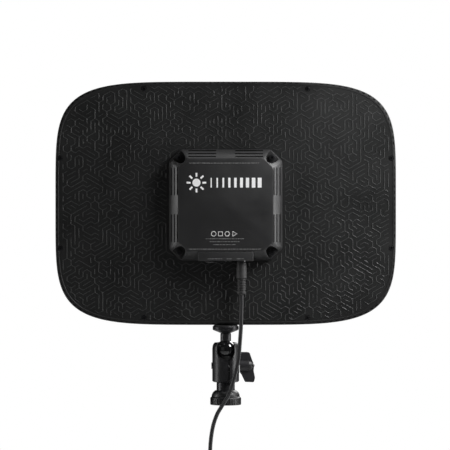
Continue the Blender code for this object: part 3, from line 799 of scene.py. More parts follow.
def make_connector_strip():
    """The strip at the lid's lower edge, with the switch, the reset pin and the supply socket."""
    low, high = box_mm("connector_panel")
    strip = block("connector_strip", (low.x, BOX_REAR + 0.05, low.z), (high.x, high.y, high.z), 0.55, 3)
    middle_x, middle_y = middle = node_centre("switch_bezel", "xy")
    hole_low = (middle_x - 9.7, middle_y - 4.9, HOLE_SPAN[0])
    hole_high = (middle_x + 9.7, middle_y + 4.9, HOLE_SPAN[1])
    cutters = [block("switch_hole", hole_low, hole_high),
               turned("reset_hole", [(1.8, z) for z in HOLE_SPAN], "Z", PIN_CENTRE, 24),
               turned("jack_hole", [(5.0, z) for z in HOLE_SPAN], "Z", (BOOT_X, BOOT_Y), 32)]
    cut(strip, *cutters)
    finish(strip, "panel", "moulded black", "case_plastic", "connector_panel")
    wide, tall = 11.0, 5.8
    rim = [(8.9, 3.9, 153.5), (8.9, 3.9, 147.0), (9.3, 4.3, 146.62), (10.5, 5.3, 146.62), (wide, tall, 147.1),
           (wide, tall, 147.8), (9.4, 4.6, 147.8), (9.4, 4.6, 157.0)]
    steps = [(u / wide, v / tall, z) for u, v, z in rim]
    bezel = drawn("rocker_bezel", round_rectangle(wide, tall, 1.2, 4), steps, "Z", middle)
    finish(bezel, "panel", "polished black", "gloss_black", "switch_bezel")

    outline = [(-8.2, -2.6), (-6.6, -2.35), (-3.2, -1.7), (0, -1.4), (3.2, -1.7), (6.6, -2.35), (8.2, -2.6),
               (8.2, -1.0), (2.2, 2.8), (-2.2, 2.8), (-8.2, -1.0)]
    lean = Matrix.Rotation(math.radians(ROCKER_REST), 3, "Y")
    leant = [(lean @ Vector((u, 0, v))).xz for u, v in outline]
    sides = [(1, 1, middle_y - 3.5), (1, 1, middle_y + 3.5)]
    paddle = softened(drawn("rocker_paddle", leant, sides, "Y", (middle_x, ROCKER_Z)), 0.3)
    finish(paddle, "rocker", "polished black", "gloss_black", "power_rocker")
    low, high = box_mm("reset_button")
    profile = rounded([(0.5, low.z), (1.2, low.z), (1.2, high.z)], 0.3)
    pin = turned("reset_pin", profile, "Z", PIN_CENTRE, 24)
    finish(pin, "reset", "moulded black", "case_plastic", "reset_button")


INK = (BOX_REAR + 0.01, BOX_REAR - 0.035)  # where a printed mark starts and ends


def flat_bar(name, x0, x1, z0, z1):
    """A thin printed bar with rounded corners on the control box's face."""
    u, v = (x1 - x0) / 2, (z1 - z0) / 2
    outline = round_rectangle(u, v, min(0.18, u * 0.6, v * 0.6), 1)
    return drawn(name, outline, [(1, 1, y) for y in INK], "Y", ((x0 + x1) / 2, (z0 + z1) / 2))


def ring_mark(name, x, z, outer, inner, outline):
    """A printed outline shape, from its outer and inner size."""
    steps = [(inner, inner, INK[0]), (outer, outer, INK[0]), (outer, outer, INK[1]), (inner, inner, INK[1])]
    return drawn(name, outline, steps, "Y", (x, z), ring=True)


def small_print(name, x0, x1, z, chance):
    """A line of fine print as a run of unreadable dashes."""
    bars, x = [], x0
    while x < x1 - 0.6:
        width = min(chance.uniform(0.9, 4.2), x1 - x)
        bars.append(flat_bar(f"{name}_{len(bars)}", x, x + width, z - 0.31, z + 0.31))
        x += width + chance.uniform(0.35, 0.7)
    return bars


def make_printing():
    """Generic marks: a sun sign, a rising row of bars for brightness, plain shapes and fine print."""
    chance = random.Random(5)
    marks = []
    sun_x, sun_z = -29.8, 228.0
    marks.append(turned("sun_disc", [(4.1, y) for y in INK], "Y", (sun_x, sun_z), 48))
    for n in range(8):
        marks.append(turned_in_place(flat_bar(f"ray_{n}", -0.95, 0.95, 6.0, 10.0), 45 * n, sun_x, sun_z))
    bars, start, end = 9, -15.4, 38.6
    step = (end - start) / bars
    for n in range(bars):
        left = start + n * step
        marks.append(flat_bar(f"level_{n}", left, left + 1.2 + 0.36 * n, sun_z - 5.0, sun_z + 5.0))
    lines = [(-37.6, 34.2, 248.0), (-20.4, 19.0, 170.8), (-16.4, 14.2, 167.8), (-12.6, 10.8, 164.8),
             (-37.2, 36.0, 160.2), (-18.2, -3.6, 150.3), (1.0, 6.2, 150.3), (11.2, 19.6, 150.3)]
    fine = []
    for n, (x0, x1, z) in enumerate(lines):
        fine += small_print(f"print_{n}", x0, x1, z, chance)
    finish(joined("fine_print", fine), "panel", "faint print", "white_film")
    square = round_rectangle(1, 1, 0.2, 3)
    shapes = [("ring", -12.2, 2.6, 2.1, circle(48)), ("square", -5.4, 2.3, 1.85, square),
              ("hexagon", 1.6, 2.8, 2.2, circle(6)), ("triangle", 8.6, 3.2, 2.4, circle(3))]
    for shape, x, outer, inner, outline in shapes:
        marks.append(ring_mark(f"mark_{shape}", x, 175.8, outer, inner, outline))
    finish(joined("printed_marks", marks), "panel", "printed white", "white_film")


# ---- ball head and pole -------------------------------------------------------------------

def arc(radius, start, end, parts, height=0.0):
    """Points (r, h) on a circle about the axis, between two latitudes in degrees."""
    turns = [math.radians(start + (end - start) * i / parts) for i in range(parts + 1)]
    return [(radius * math.cos(t), height + radius * math.sin(t)) for t in turns]


def make_housing():
    """The clamping housing with its ball seat, round-edged notch, pinch slit and side bores."""
    bottom, top = HOUSING_LOW.z, HOUSING_HIGH.z
    seat = arc(BALL_R + BALL_GAP, 28, -33, 14, BALL_Z)
    outside = rounded([(3.4, 31.5), (3.4, bottom), (12.6, bottom), (HOUSING_R, bottom + 1.2)], 0.5)
    dome = [(HOUSING_R, 57.5), (13.6, 59.6), (13.1, 61.4), (12.4, 62.8), (11.8, 63.5), (11.3, top),
            (10.9, top - 0.1)]
    pocket = [(8.9, seat[-1][1] - 0.2), (8.9, 34.0)]
    body = turned("head_housing", outside + dome + seat + pocket, sides=96)
    rows = [(7.1, -3.0), (8.9, -9.0), (10.2, -12.4), (10.9, -13.4), (12.6, -17.0)]
    tall = 16.5 / rows[0][0]
    curve = [(math.cos(math.radians(a)), math.sin(math.radians(a))) for a in range(180, 361, 9)]
    outline, steps = curve + [(1, tall), (-1, tall)], [(half, half, y) for half, y in rows]
    notch = drawn("notch", outline, steps, "Y", (0, 55.5))
    slit = block("slit", (3.1, -20, 25.4), (3.9, -6, 52.0))
    groove = block("groove", (6.2, -20, 25.4), (6.7, -11.7, 50.0))
    bore = turned("bore", [(3.3, 5.0), (3.3, 17.0)], "X", (0, KNOB_Z), 32)
    left = turned("left_bore", [(3.7, -17.0), (3.7, -11.0)], "X", (0, KNOB_Z), 32)
    cut(body, notch, slit, groove, bore, left)
    tidy_mesh(body)
    finish(body, "root", "satin black", "head_black", "housing")
    profile = rounded([(5.0, 12.6), (7.4, 12.6), (7.4, 14.0), (5.0, 14.0)], 0.3, closed=True)
    seat_plate = turned("knob_boss", profile, "X", (0, KNOB_Z), 48, ring=True)
    finish(seat_plate, "root", "satin black", "head_black")
    profile = rounded([(2.6, -11.3), (3.4, -11.3), (3.4, -14.6), (2.2, -14.75)], 0.35)
    cap = turned("pivot_button", profile, "X", (0, KNOB_Z), 40)
    finish(cap, "root", "polished black", "gloss_black", "pivot_cap")


def make_knob():
    """The wing knob: splayed lobes, a waisted outer edge, a rib across the middle and a round hub."""
    corners = [(14.4, 33.4), (16.0, 31.6), (19.8, 23.5), (29.0, 23.2), (30.2, 27.7), (28.7, 35.0),
               (29.2, 40.2), (24.6, 53.4), (22.6, 54.0), (15.4, 54.0), (14.4, 53.0)]
    outline = rounded(corners, 1.1, 4, closed=True)
    wing = drawn("wing_knob", outline, [(1, 1, 3.6), (1, 1, -3.6)], "Y")
    hub_profile = rounded([(6.6, 14.4), (6.6, 24.0), (5.2, 27.2), (3.4, 28.4)], 0.8)
    rib_profile = rounded([(1.0, 15.0), (1.9, 15.6), (1.9, 28.2), (1.0, 29.6)], 0.5)
    hub = turned("hub", hub_profile, "X", (0, KNOB_Z), 48)
    rib = turned("rib", rib_profile, "X", (-3.4, KNOB_Z + 0.4), 24)
    cut(wing, hub, rib, operation="UNION")
    softened(wing, 1.0, 3, 40.0)
    finish(wing, "knob", "satin black", "grip_plastic", "clamp_knob")


def make_ball_and_stud():
    """The polished ball, and the stud on it with its threaded end."""
    ball = turned("pivot_ball", arc(BALL_R, -86, 86, 40, BALL_Z), sides=96, angle=60)
    finish(ball, "ball", "polished black", "ball_gloss", "ball")
    tip = box_mm("ball_stud")[1].z
    foot = [(r, BALL_Z + math.sqrt((BALL_R + BALL_GAP) ** 2 - r * r)) for r in (0.8, 3.0, 5.2, 5.5)]
    shoulder = 73.4
    thread = []
    z = shoulder + 1.0
    while z < tip - 1.0:
        thread += [(2.75, z), (3.1, z + 0.42), (3.1, z + 0.52), (2.75, z + 0.94)]
        z += THREAD_PITCH
    stem = foot + [(5.5, shoulder - 0.4), (5.1, shoulder), (2.9, shoulder)] + thread + [(2.6, tip)]
    stud = turned("pivot_stud", stem, sides=64)
    finish(stud, "stud", "anodised black", "head_black", "ball_stud")


KNURL_SIDES = 96
KNURL_EDGE = 0.08


def knurl(obj, keep, depth, every=2):
    """Sinks one in so many of the outward faces that keep() picks out, all round the Z axis."""
    activate(obj)
    bpy.ops.object.mode_set(mode="EDIT")
    bpy.ops.mesh.select_mode(type="FACE")
    bpy.ops.mesh.select_all(action="DESELECT")
    shape = bmesh.from_edit_mesh(obj.data)
    band = []
    for face in shape.faces:
        middle = face.calc_center_median() / MM
        outward = face.normal.x * middle.x + face.normal.y * middle.y
        if outward > 0 and keep(middle, face.normal):
            band.append((math.atan2(middle.y, middle.x), face))
    for angle, face in band:
        sector = round((angle % math.tau) / math.tau * KNURL_SIDES - 0.5)
        face.select = sector % every == 0
    bmesh.update_edit_mesh(obj.data)
    bpy.ops.mesh.inset(thickness=KNURL_EDGE * MM, depth=depth * MM)
    bpy.ops.object.mode_set(mode="OBJECT")
    smoothed()


def tube(name, outer, inner, low, high, edge):
    """A plain ring about the Z axis with rounded edges."""
    profile = rounded([(outer, low), (outer, high), (inner, high), (inner, low)], edge, 2, closed=True)
    return turned(name, profile, sides=96, ring=True)


def make_lock_disc():
    """The locking disc under the panel, with a finely ribbed rim and a rubber face."""
    low, high = box_mm("lock_disc")
    profile = [(3.5, low.z), (5.7, low.z), (6.2, low.z + 0.3), (11.8, low.z + 2.5), (12.9, low.z + 3.1),
               (13.4, low.z + 3.7), (13.4, high.z - 0.8), (12.9, high.z), (3.5, high.z)]
    disc = turned("locking_disc", profile, sides=KNURL_SIDES, ring=True)
    knurl(disc, lambda middle, normal: low.z + 3.6 < middle.z < high.z - 0.7 and abs(normal.z) < 0.3, -0.22)
    finish(disc, "disc", "anodised black", "head_black", "lock_disc")
    low, high = box_mm("disc_pad")
    pad = tube("disc_cushion", 12.4, 3.5, low.z, high.z, 0.15)
    finish(pad, "disc", "soft rubber", "cord_black", "disc_pad")


def make_pole():
    """The pole stub: inner tube, twist-lock collar with a domed top and grip ribs, and outer tube."""
    low, high = box_mm("inner_tube")
    inner = tube("slide_tube", 9.4, 8.2, low.z, high.z, 0.25)
    finish(inner, "root", "anodised black", "pole_black", "inner_tube")
    outer = tube("pole_tube", 12.4, 10.9, 0, 9.2, 0.2)
    finish(outer, "root", "anodised black", "pole_black", "outer_tube")
    outside = [(15.5, 0.0), (15.9, 0.5), (15.9, 6.6), (15.6, 7.4), (14.9, 8.0), (14.5, 8.3), (14.4, 9.4),
               (14.2, 10.4), (13.7, 11.7), (12.9, 12.9), (11.9, 13.9), (10.8, 14.6), (10.2, 14.9)]
    inside = [(9.75, 14.7), (9.75, 13.2), (11.0, 12.9), (12.75, 9.6), (12.75, 0)]
    collar = turned("twist_collar", outside + inside, sides=KNURL_SIDES, ring=True)
    knurl(collar, lambda middle, normal: 0.6 < middle.z < 6.5 and abs(normal.z) < 0.3, -0.45, every=3)
    finish(collar, "collar", "satin black", "grip_plastic", "lock_collar")


# ---- supply lead --------------------------------------------------------------------------

# The lead's middle line from the plug to the coil, and from the coil to the adapter.
LEAD_ROUTE = [
    (16.2, -15.0, 113.6), (16.2, -15.2, 104.0), (16.0, -15.9, 92.0), (15.6, -16.6, 80.0),
    (14.7, -17.1, 67.0), (13.9, -17.3, 56.0), (13.2, -17.4, 48.0), (11.4, -17.7, 38.5),
    (8.8, -18.3, 28.5), (5.1, -19.1, 16.0), (1.3, -19.8, 8.0), (-3.8, -20.4, 0.0),
    (-9.0, -20.9, -9.0), (-13.0, -21.4, -21.0), (-15.3, -21.8, -36.0), (-16.0, -22.0, -52.0),
    (-16.0, -22.0, -68.5),
]
TAIL_ROUTE = [
    (-37.6, -9.3, -120.6), (-40.6, -9.4, -124.6), (-42.9, -9.7, -130.0), (-43.8, -9.9, -136.0),
    (-44.0, -10.0, -141.4),
]
STRETCH_ENDS = (82.4, 40.0, 6.0)  # heights where one stretch of the lead ends and the next begins
RING_SPACING = 2.0
RINGS_IN_ADAPTER = 18
CORE_SPREAD = 0.6  # each core's distance from the middle of the twin lead
SECTION_PARTS = 20
LAYERS = 4
TURNS_PER_LAYER = 3.5
TURN_PITCH = 4.25  # from one turn's middle to the next
LAST_TURN = 0.125  # part of a turn by which the lead leaves the coil
COIL_MEAN_RADIUS = 24.0
RINGS_PER_TURN = 48
CURVE_PARTS = 24


def smooth_route(points, spacing):
    """Points at an even spacing on a smooth curve through the route."""
    pts = [Vector(p) for p in points]
    ends = [pts[0] * 2 - pts[1]] + pts + [pts[-1] * 2 - pts[-2]]
    fine = []
    for p0, p1, p2, p3 in zip(ends, ends[1:], ends[2:], ends[3:]):
        for i in range(CURVE_PARTS):
            t = i / CURVE_PARTS
            fine.append(0.5 * (2 * p1 + (p2 - p0) * t + (2 * p0 - 5 * p1 + 4 * p2 - p3) * t * t
                               + (3 * p1 - p0 - 3 * p2 + p3) * t ** 3))
    fine.append(pts[-1])
    marks = [0.0]
    for a, b in zip(fine, fine[1:]):
        marks.append(marks[-1] + (b - a).length)
    count = max(2, round(marks[-1] / spacing))
    result, k = [], 0
    for i in range(count + 1):
        want = marks[-1] * i / count
        while k < len(fine) - 2 and marks[k + 1] < want:
            k += 1
        share = (want - marks[k]) / max(1e-9, marks[k + 1] - marks[k])
        result.append(fine[k].lerp(fine[k + 1], min(1.0, share)))
    return result


def smoothstep(t):
    t = min(1.0, max(0.0, t))
    return t * t * (3 - 2 * t)


def coil_route():
    """The wound turns: each layer spirals in or out, and the lead steps over to the next at its end."""
    x, z = (COIL_LOW.x + COIL_HIGH.x) / 2, (COIL_LOW.z + COIL_HIGH.z) / 2
    outer = COIL_MEAN_RADIUS + TURNS_PER_LAYER * TURN_PITCH / 2
    front = (COIL_LOW.y + COIL_HIGH.y) / 2 - TURN_PITCH * (LAYERS - 1) / 2
    total = LAYERS * TURNS_PER_LAYER + LAST_TURN
    count = int(total * RINGS_PER_TURN)
    points = []
    for i in range(count + 1):
        u = total * i / count
        layer = min(LAYERS - 1, int(u / TURNS_PER_LAYER))
        inside_layer = u - layer * TURNS_PER_LAYER
        wound = inside_layer if layer % 2 == 0 else TURNS_PER_LAYER - inside_layer
        radius = outer - TURN_PITCH * max(0.0, wound)
        y = front
        for change in range(1, LAYERS):
            y += TURN_PITCH * smoothstep((u - change * TURNS_PER_LAYER) / 0.6 + 0.5)
        t = -math.tau * u
        points.append(Vector((x + radius * math.cos(t), y, z + radius * math.sin(t))))
    return points


def twin_section():
    """The lead's cross-section: two round cores side by side, with a groove along the middle."""
    radius = settings().lead_diameter / MM / 2 - CORE_SPREAD
    points = []
    for c, s in circle(SECTION_PARTS):
        reach = CORE_SPREAD * abs(c) + math.sqrt(max(0.0, radius ** 2 - (CORE_SPREAD * s) ** 2))
        points.append((reach * c, reach * s))
    return points


def swept(name, line, first, last):
    """The twin lead swept along part of a line, its flat side kept towards the front, with closed ends."""
    section = twin_section()
    shape = bmesh.new()
    rows = []
    for i in range(first, last + 1):
        point, ahead = line[i], (line[min(i + 1, len(line) - 1)] - line[max(i - 1, 0)]).normalized()
        wide = ahead.cross(Vector((0, 1, 0))).normalized()
        thick = wide.cross(ahead).normalized()
        rows.append([shape.verts.new((point + wide * u + thick * v) * MM) for u, v in section])
    count = len(section)
    for a, b in zip(rows, rows[1:]):
        for i in range(count):
            j = (i + 1) % count
            shape.faces.new((a[i], a[j], b[j], b[i]))
    shape.faces.new(list(reversed(rows[0])))
    shape.faces.new(rows[-1])
    bmesh.ops.recalc_face_normals(shape, faces=shape.faces)
    mesh = bpy.data.meshes.new(name)
    shape.to_mesh(mesh)
    shape.free()
    piece = bpy.data.objects.new(name, mesh)
    bpy.context.collection.objects.link(piece)
    activate(piece)
    smoothed(60)
    mesh.materials.append(look("cable sheath"))
    return piece


def make_lead():
    """The whole lead: three stretches along the head, then the hanging run, coil and tail."""
    route = smooth_route(LEAD_ROUTE, RING_SPACING)
    coil = coil_route()
    into_coil = [route[-1].lerp(coil[0], k / 9) for k in range(1, 9)]
    tail = smooth_route(TAIL_ROUTE, RING_SPACING)
    out_of_coil = [coil[-1].lerp(tail[0], k / 8) for k in range(1, 8)]
    inside = [tail[-1] - Vector((0, 0, RING_SPACING * k)) for k in range(1, RINGS_IN_ADAPTER + 1)]
    line = route + into_coil + coil + out_of_coil + tail + inside
    marks = [next(i for i, p in enumerate(line) if p.z <= height) for height in STRETCH_ENDS]
    marks = [0, *marks, len(line) - 1]
    ends = make_adapter() + [make_tie()]
    stretches = [("lead_upper", ("panel", "stud"), ["cord_upper"], "object", "hanging", [make_plug_boot()]),
                 ("lead_bend", ("stud", "ball"), ["cord_bend"], "object", "hanging", []),
                 ("lead_lean", ("ball", "root"), ["cord_lower"], "object", "hanging", []),
                 ("lead_hanging", ("root",), ["cord_lower", "cord_coil", "cord_tail"], "plug", "coiled",
                  ends)]
    for (name, bodies, nodes, far_end, lay, pieces), first, last in zip(stretches, marks, marks[1:]):
        piece = swept(name, line, first, last)
        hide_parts(*nodes)
        if len(bodies) == 2:
            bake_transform(piece)
        else:
            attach(piece, *bodies)


def make_plug_boot():
    """The plug's grip and its grooved strain relief."""
    low, high = BOOT_LOW.z, BOOT_HIGH.z
    profile = [(2.9, low), (3.9, low + 0.3), (4.35, low + 1.0)]
    z = low + 2.0
    while z < low + 14.6:
        profile += [(4.45, z), (4.45, z + 1.1), (3.75, z + 1.4), (3.75, z + 2.1)]
        z += 2.45
    profile += [(4.45, low + 16.0), (4.9, low + 16.3), (5.25, low + 16.9), (5.25, high - 6.6),
                (5.05, high - 4.4), (4.6, high - 1.2), (4.3, high - 0.3), (3.9, high)]
    boot = turned("plug_grip", profile, "Z", (BOOT_X, BOOT_Y), 48)
    return finish(boot, "panel", "soft rubber", "cord_black", "plug_boot")


def make_tie():
    """The strap round the coil, with its rounded corners and lapped end."""
    low, high = box_mm("coil_tie")
    middle_x, middle_y, half_x, half_y = halves(low, high, "xy")
    thick = 0.9
    inner = ((half_x - thick) / half_x, (half_y - thick) / half_y)
    steps = [(*inner, low.z), (1, 1, low.z), (1, 1, high.z), (*inner, high.z)]
    outline = round_rectangle(half_x, half_y, 2.0, 5)
    strap = drawn("coil_strap", outline, steps, "Z", (middle_x, middle_y), ring=True)
    lap_low, lap_high = (middle_x - 6, low.y - 0.75, low.z + 0.3), (middle_x + 7, low.y + 0.05, high.z - 0.3)
    lap = block("lap", lap_low, lap_high, 0.3)
    return finish(joined("coil_strap", [strap, lap]), "root", "woven strap", "cord_black", "coil_tie")


def make_adapter():
    """The plug-top supply: a round-edged case with a seam, its strain relief and two pins."""
    low, high = box_mm("power_adapter")
    middle_x, middle_y, half_x, half_y = halves(low, high, "xy")
    middle = (middle_x, middle_y)
    seam = low.z + 22.0
    edge = [(3.2, low.z), (1.2, low.z + 0.5), (0.3, low.z + 1.6), (0, low.z + 3.0), (0, seam - 0.3),
            (0.45, seam - 0.1), (0.45, seam + 0.1), (0, seam + 0.3), (0, high.z - 3.0), (0.3, high.z - 1.6),
            (1.2, high.z - 0.5), (3.2, high.z)]
    steps = [((half_x - inset) / half_x, (half_y - inset) / half_y, z) for inset, z in edge]
    case = drawn("adapter_case", round_rectangle(half_x, half_y, 5.0, 6), steps, "Z", middle)
    finish(case, "root", "moulded black", "case_plastic", "power_adapter")
    low, high = box_mm("adapter_boot")
    z, radius = high.z, 3.1
    profile = [(2.6, z), (radius, z - 0.4)]
    while z > low.z + 3.4:
        profile += [(radius, z - 1.2), (radius - 0.5, z - 1.5), (radius - 0.5, z - 2.1)]
        z -= 2.4
        radius += 0.16
        profile.append((radius, z))
    profile += [(4.6, low.z + 0.8), (4.6, low.z)]
    sleeve = turned("adapter_sleeve", profile, "Z", middle, 40)
    finish(sleeve, "root", "soft rubber", "cord_black", "adapter_boot")
    low, high = box_mm("adapter_pins")
    pins = [block("plate", (low.x, low.y, high.z - 1.6), high, 0.3)]
    profile = rounded([(1.2, low.z), (2.4, low.z + 0.9), (2.4, high.z - 1.0)], 0.4)
    for side in (-1, 1):
        pins.append(turned(f"pin_{side}", profile, "Z", (middle_x + side * 9.5, middle_y), 32))
    plug = finish(joined("adapter_prongs", pins), "root", "plain brass", "brass", "adapter_pins")
    return [sleeve, case, plug]


# ---- inside pieces ------------------------------------------------------------------------

LEG_PITCH = 1.27
# Chips on the board: middle x and z, width, height and thickness.
CHIPS = [(-6, 203, 9, 9, 1.1), (10, 206, 5, 6, 1.3), (24, 190, 10, 7, 2.4), (20, 176, 5, 5, 1.4),
         (24, 212, 4, 6, 1.2)]


def make_driver_board():
    """The driver board with its rounded corners and mounting holes, and the small parts soldered to it."""
    low, high = box_mm("driver_board")
    middle_x, middle_z, half_x, half_z = halves(low, high, "xz")
    outline = round_rectangle(half_x, half_z, 2.5, 4)
    board = drawn("control_board", outline, [(1, 1, high.y), (1, 1, low.y)], "Y", (middle_x, middle_z))
    places = [(x * (half_x - 4), middle_z + z * (half_z - 4)) for x in (-1, 1) for z in (-1, 1)]
    through = [(1.6, low.y - 1), (1.6, high.y + 1)]
    holes = [turned(f"board_hole_{n}", through, "Y", place, 20) for n, place in enumerate(places)]
    cut(board, joined("board_holes", holes))
    finish(board, "panel", "circuit board", "green_board", "driver_board")
    face, parts = low.y, []
    for x, z, wide, tall, thick in CHIPS:
        parts.append(block("chip", (x - wide / 2, face - thick, z - tall / 2),
                           (x + wide / 2, face, z + tall / 2), 0.25))
        for side in (-1, 1):
            for n in range(int(tall / LEG_PITCH)):
                leg_x, leg_z = x + side * (wide / 2 + 0.5), z - tall / 2 + 0.8 + n * LEG_PITCH
                parts.append(block("leg", (leg_x - 0.6, face - 0.4, leg_z - 0.2),
                                   (leg_x + 0.6, face, leg_z + 0.2), 0.1, 1))
    for n in range(16):
        x, z = -8 + (n % 8) * 3.1, 222 - (n // 8) * 3.6
        parts.append(block("resistor", (x, face - 0.55, z), (x + 1.7, face, z + 0.95), 0.12, 1))
    finish(joined("board_parts", parts), "panel", "moulded black", "case_plastic")


def make_choke_and_capacitor():
    """The drum choke with its copper winding, and the can capacitor with a crimped foot and scored top."""
    low, high = box_mm("inductor")
    centre, radius = node_centre("inductor"), (high.x - low.x) / 2
    core = [(radius * 0.9, low.y), (radius, low.y + 0.4), (radius, low.y + 1.3), (radius * 0.55, low.y + 1.5),
            (radius * 0.55, high.y - 1.5), (radius, high.y - 1.3), (radius, high.y)]
    finish(turned("choke_core", core, "Y", centre, 40), "panel", "moulded black", "case_plastic", "inductor")
    wire, y = [], low.y + 1.6
    while y < high.y - 2.1:
        wire += [(radius * 0.78, y), (radius * 0.86, y + 0.15), (radius * 0.86, y + 0.35),
                 (radius * 0.78, y + 0.5)]
        y += 0.55
    wound = [(radius * 0.6, low.y + 1.6)] + wire + [(radius * 0.6, y)]
    winding = turned("choke_winding", wound, "Y", centre, 40)
    finish(winding, "panel", "wound copper", "brass")
    low, high = box_mm("capacitor")
    centre, radius = node_centre("capacitor"), (high.x - low.x) / 2
    can = rounded([(radius * 0.7, low.y), (radius, low.y), (radius, high.y - 2.4),
                   (radius * 0.88, high.y - 1.9), (radius, high.y - 1.4), (radius, high.y)], 0.5)
    can = turned("can_capacitor", can, "Y", centre, 40)
    scores = []
    for turn in (0, 90):
        score = block("score", (-radius * 0.7, low.y - 1, -0.2), (radius * 0.7, low.y + 0.25, 0.2), 0.05)
        scores.append(turned_in_place(score, turn, *centre))
    cut(can, *scores)
    finish(can, "panel", "mill aluminium", "bare_aluminium", "capacitor")


def make_module_and_sockets():
    """The wireless module's pierced shield, the LED connector and the reset switch's body."""
    low, high = box_mm("wireless_module")
    shield = block("module_shield", low, high, 0.5, 3)
    holes = [turned(f"vent_{x}_{z}", [(0.7, low.y - 1), (0.7, low.y + 0.8)], "Y",
                    (low.x + 3.2 + 2.9 * x, low.z + 4.0 + 4.0 * z), 12) for x in range(5) for z in range(5)]
    cut(shield, joined("vents", holes))
    finish(shield, "panel", "turned steel", "steel", "wireless_module")
    low, high = box_mm("led_connector")
    header = block("led_header", low, high, 0.35)
    slots = [block(f"way_{n}", (low.x + 1.5 + 3.5 * n, low.y + 1.0, high.z - 5.5),
                   (low.x + 4.0 + 3.5 * n, high.y - 1.0, high.z + 1.0)) for n in range(4)]
    cut(header, joined("ways", slots))
    finish(header, "panel", "white film", "opal", "led_connector")
    low, high = box_mm("reset_switch")
    body = block("reset_body", low, high, 0.35)
    profile = rounded([(1.3, low.z - 0.3), (1.6, low.z - 0.3), (1.6, low.z + 0.5)], 0.1)
    plunger = turned("plunger", profile, "Z", node_centre("reset_switch", "xy"), 28)
    cut(body, plunger, operation="UNION")
    finish(body, "panel", "moulded black", "case_plastic", "reset_switch")


LAMP_PITCH = 6.2
LAMP_LENGTH = 3.4


def make_led_strips():
    """The three strips of white board, each with its row of yellow-faced lamps turned to the light guide."""
    lamps = []
    for side in ("left", "right", "top"):
        low, high = box_mm(f"led_strip_{side}")
        strip = block(f"led_board_{side}", low, high, 0.2, 1)
        finish(strip, "panel", "white film", "white_film", f"led_strip_{side}")
        length = high.x - low.x if side == "top" else high.z - low.z
        near_y, far_y = (low.y + high.y) / 2 - 1.3, (low.y + high.y) / 2 + 1.3
        for n in range(int((length - 4) / LAMP_PITCH)):
            start = 4 + n * LAMP_PITCH
            if side == "top":
                corner = (low.x + start, near_y, low.z - 0.4)
                far = (low.x + start + LAMP_LENGTH, far_y, low.z)
            else:
                face = high.x if side == "left" else low.x - 0.5
                corner = (face, near_y, low.z + start)
                far = (face + 0.5, far_y, low.z + start + LAMP_LENGTH)
            lamps.append(block(f"lamp_{len(lamps)}", corner, far, 0.12, 1))
    finish(joined("led_lamps", lamps), "panel", "lamp phosphor", "opal")


def dress_inside():
    """Finishes for the inner pieces that keep their CAD shape."""
    finishes = {
        "end_plug": "moulded black", "collet_sleeve": "moulded black", "top_plug": "turned steel",
        "brake_cup": "soft rubber", "clamp_screw": "turned steel", "thread_insert": "plain brass",
        "light_guide": "clear acrylic", "reflector_sheet": "white film", "heat_tray": "mill aluminium",
        "dc_jack": "polished black", "plug_barrel": "turned steel",
    }
    for node, name in finishes.items():
        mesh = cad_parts[node].data
        mesh.materials.clear()
        mesh.materials.append(look(name))


# ---- stage --------------------------------------------------------------------------------

FRAME_WIDTH = 0.4619  # how much of the panel's plane the camera takes in
CAMERA_DISTANCE = 2.6
SENSOR_WIDTH = 36.0
FLOOR_RADIUS = 1500.0
FLOOR_DROP = 6.0
VIEW_CENTRE = Vector((-0.0007, PANEL_REAR * MM, 0.1848))


def area_light(name, place, target, size, power, sheen=False):
    """A soft rectangular light. One for sheen only shows in gloss and leaves matt surfaces alone."""
    lamp = bpy.data.lights.new(name, "AREA")
    lamp.shape = "RECTANGLE"
    lamp.size, lamp.size_y = size
    lamp.energy = power
    lit = bpy.data.objects.new(name, lamp)
    bpy.context.collection.objects.link(lit)
    lit.visible_camera = False
    lit.visible_diffuse = not sheen
    lit.location = place
    lit.rotation_euler = (Vector(target) - Vector(place)).to_track_quat("-Z", "Y").to_euler()
    return lit


def make_camera():
    data = bpy.data.cameras.new("camera")
    data.sensor_width = SENSOR_WIDTH
    data.lens = SENSOR_WIDTH * CAMERA_DISTANCE / FRAME_WIDTH
    data.clip_end = 50
    camera = bpy.data.objects.new("camera", data)
    bpy.context.collection.objects.link(camera)
    camera.location = VIEW_CENTRE + Vector((0, -CAMERA_DISTANCE, 0))
    camera.rotation_euler = (math.pi / 2, 0, 0)
    bpy.context.scene.camera = camera


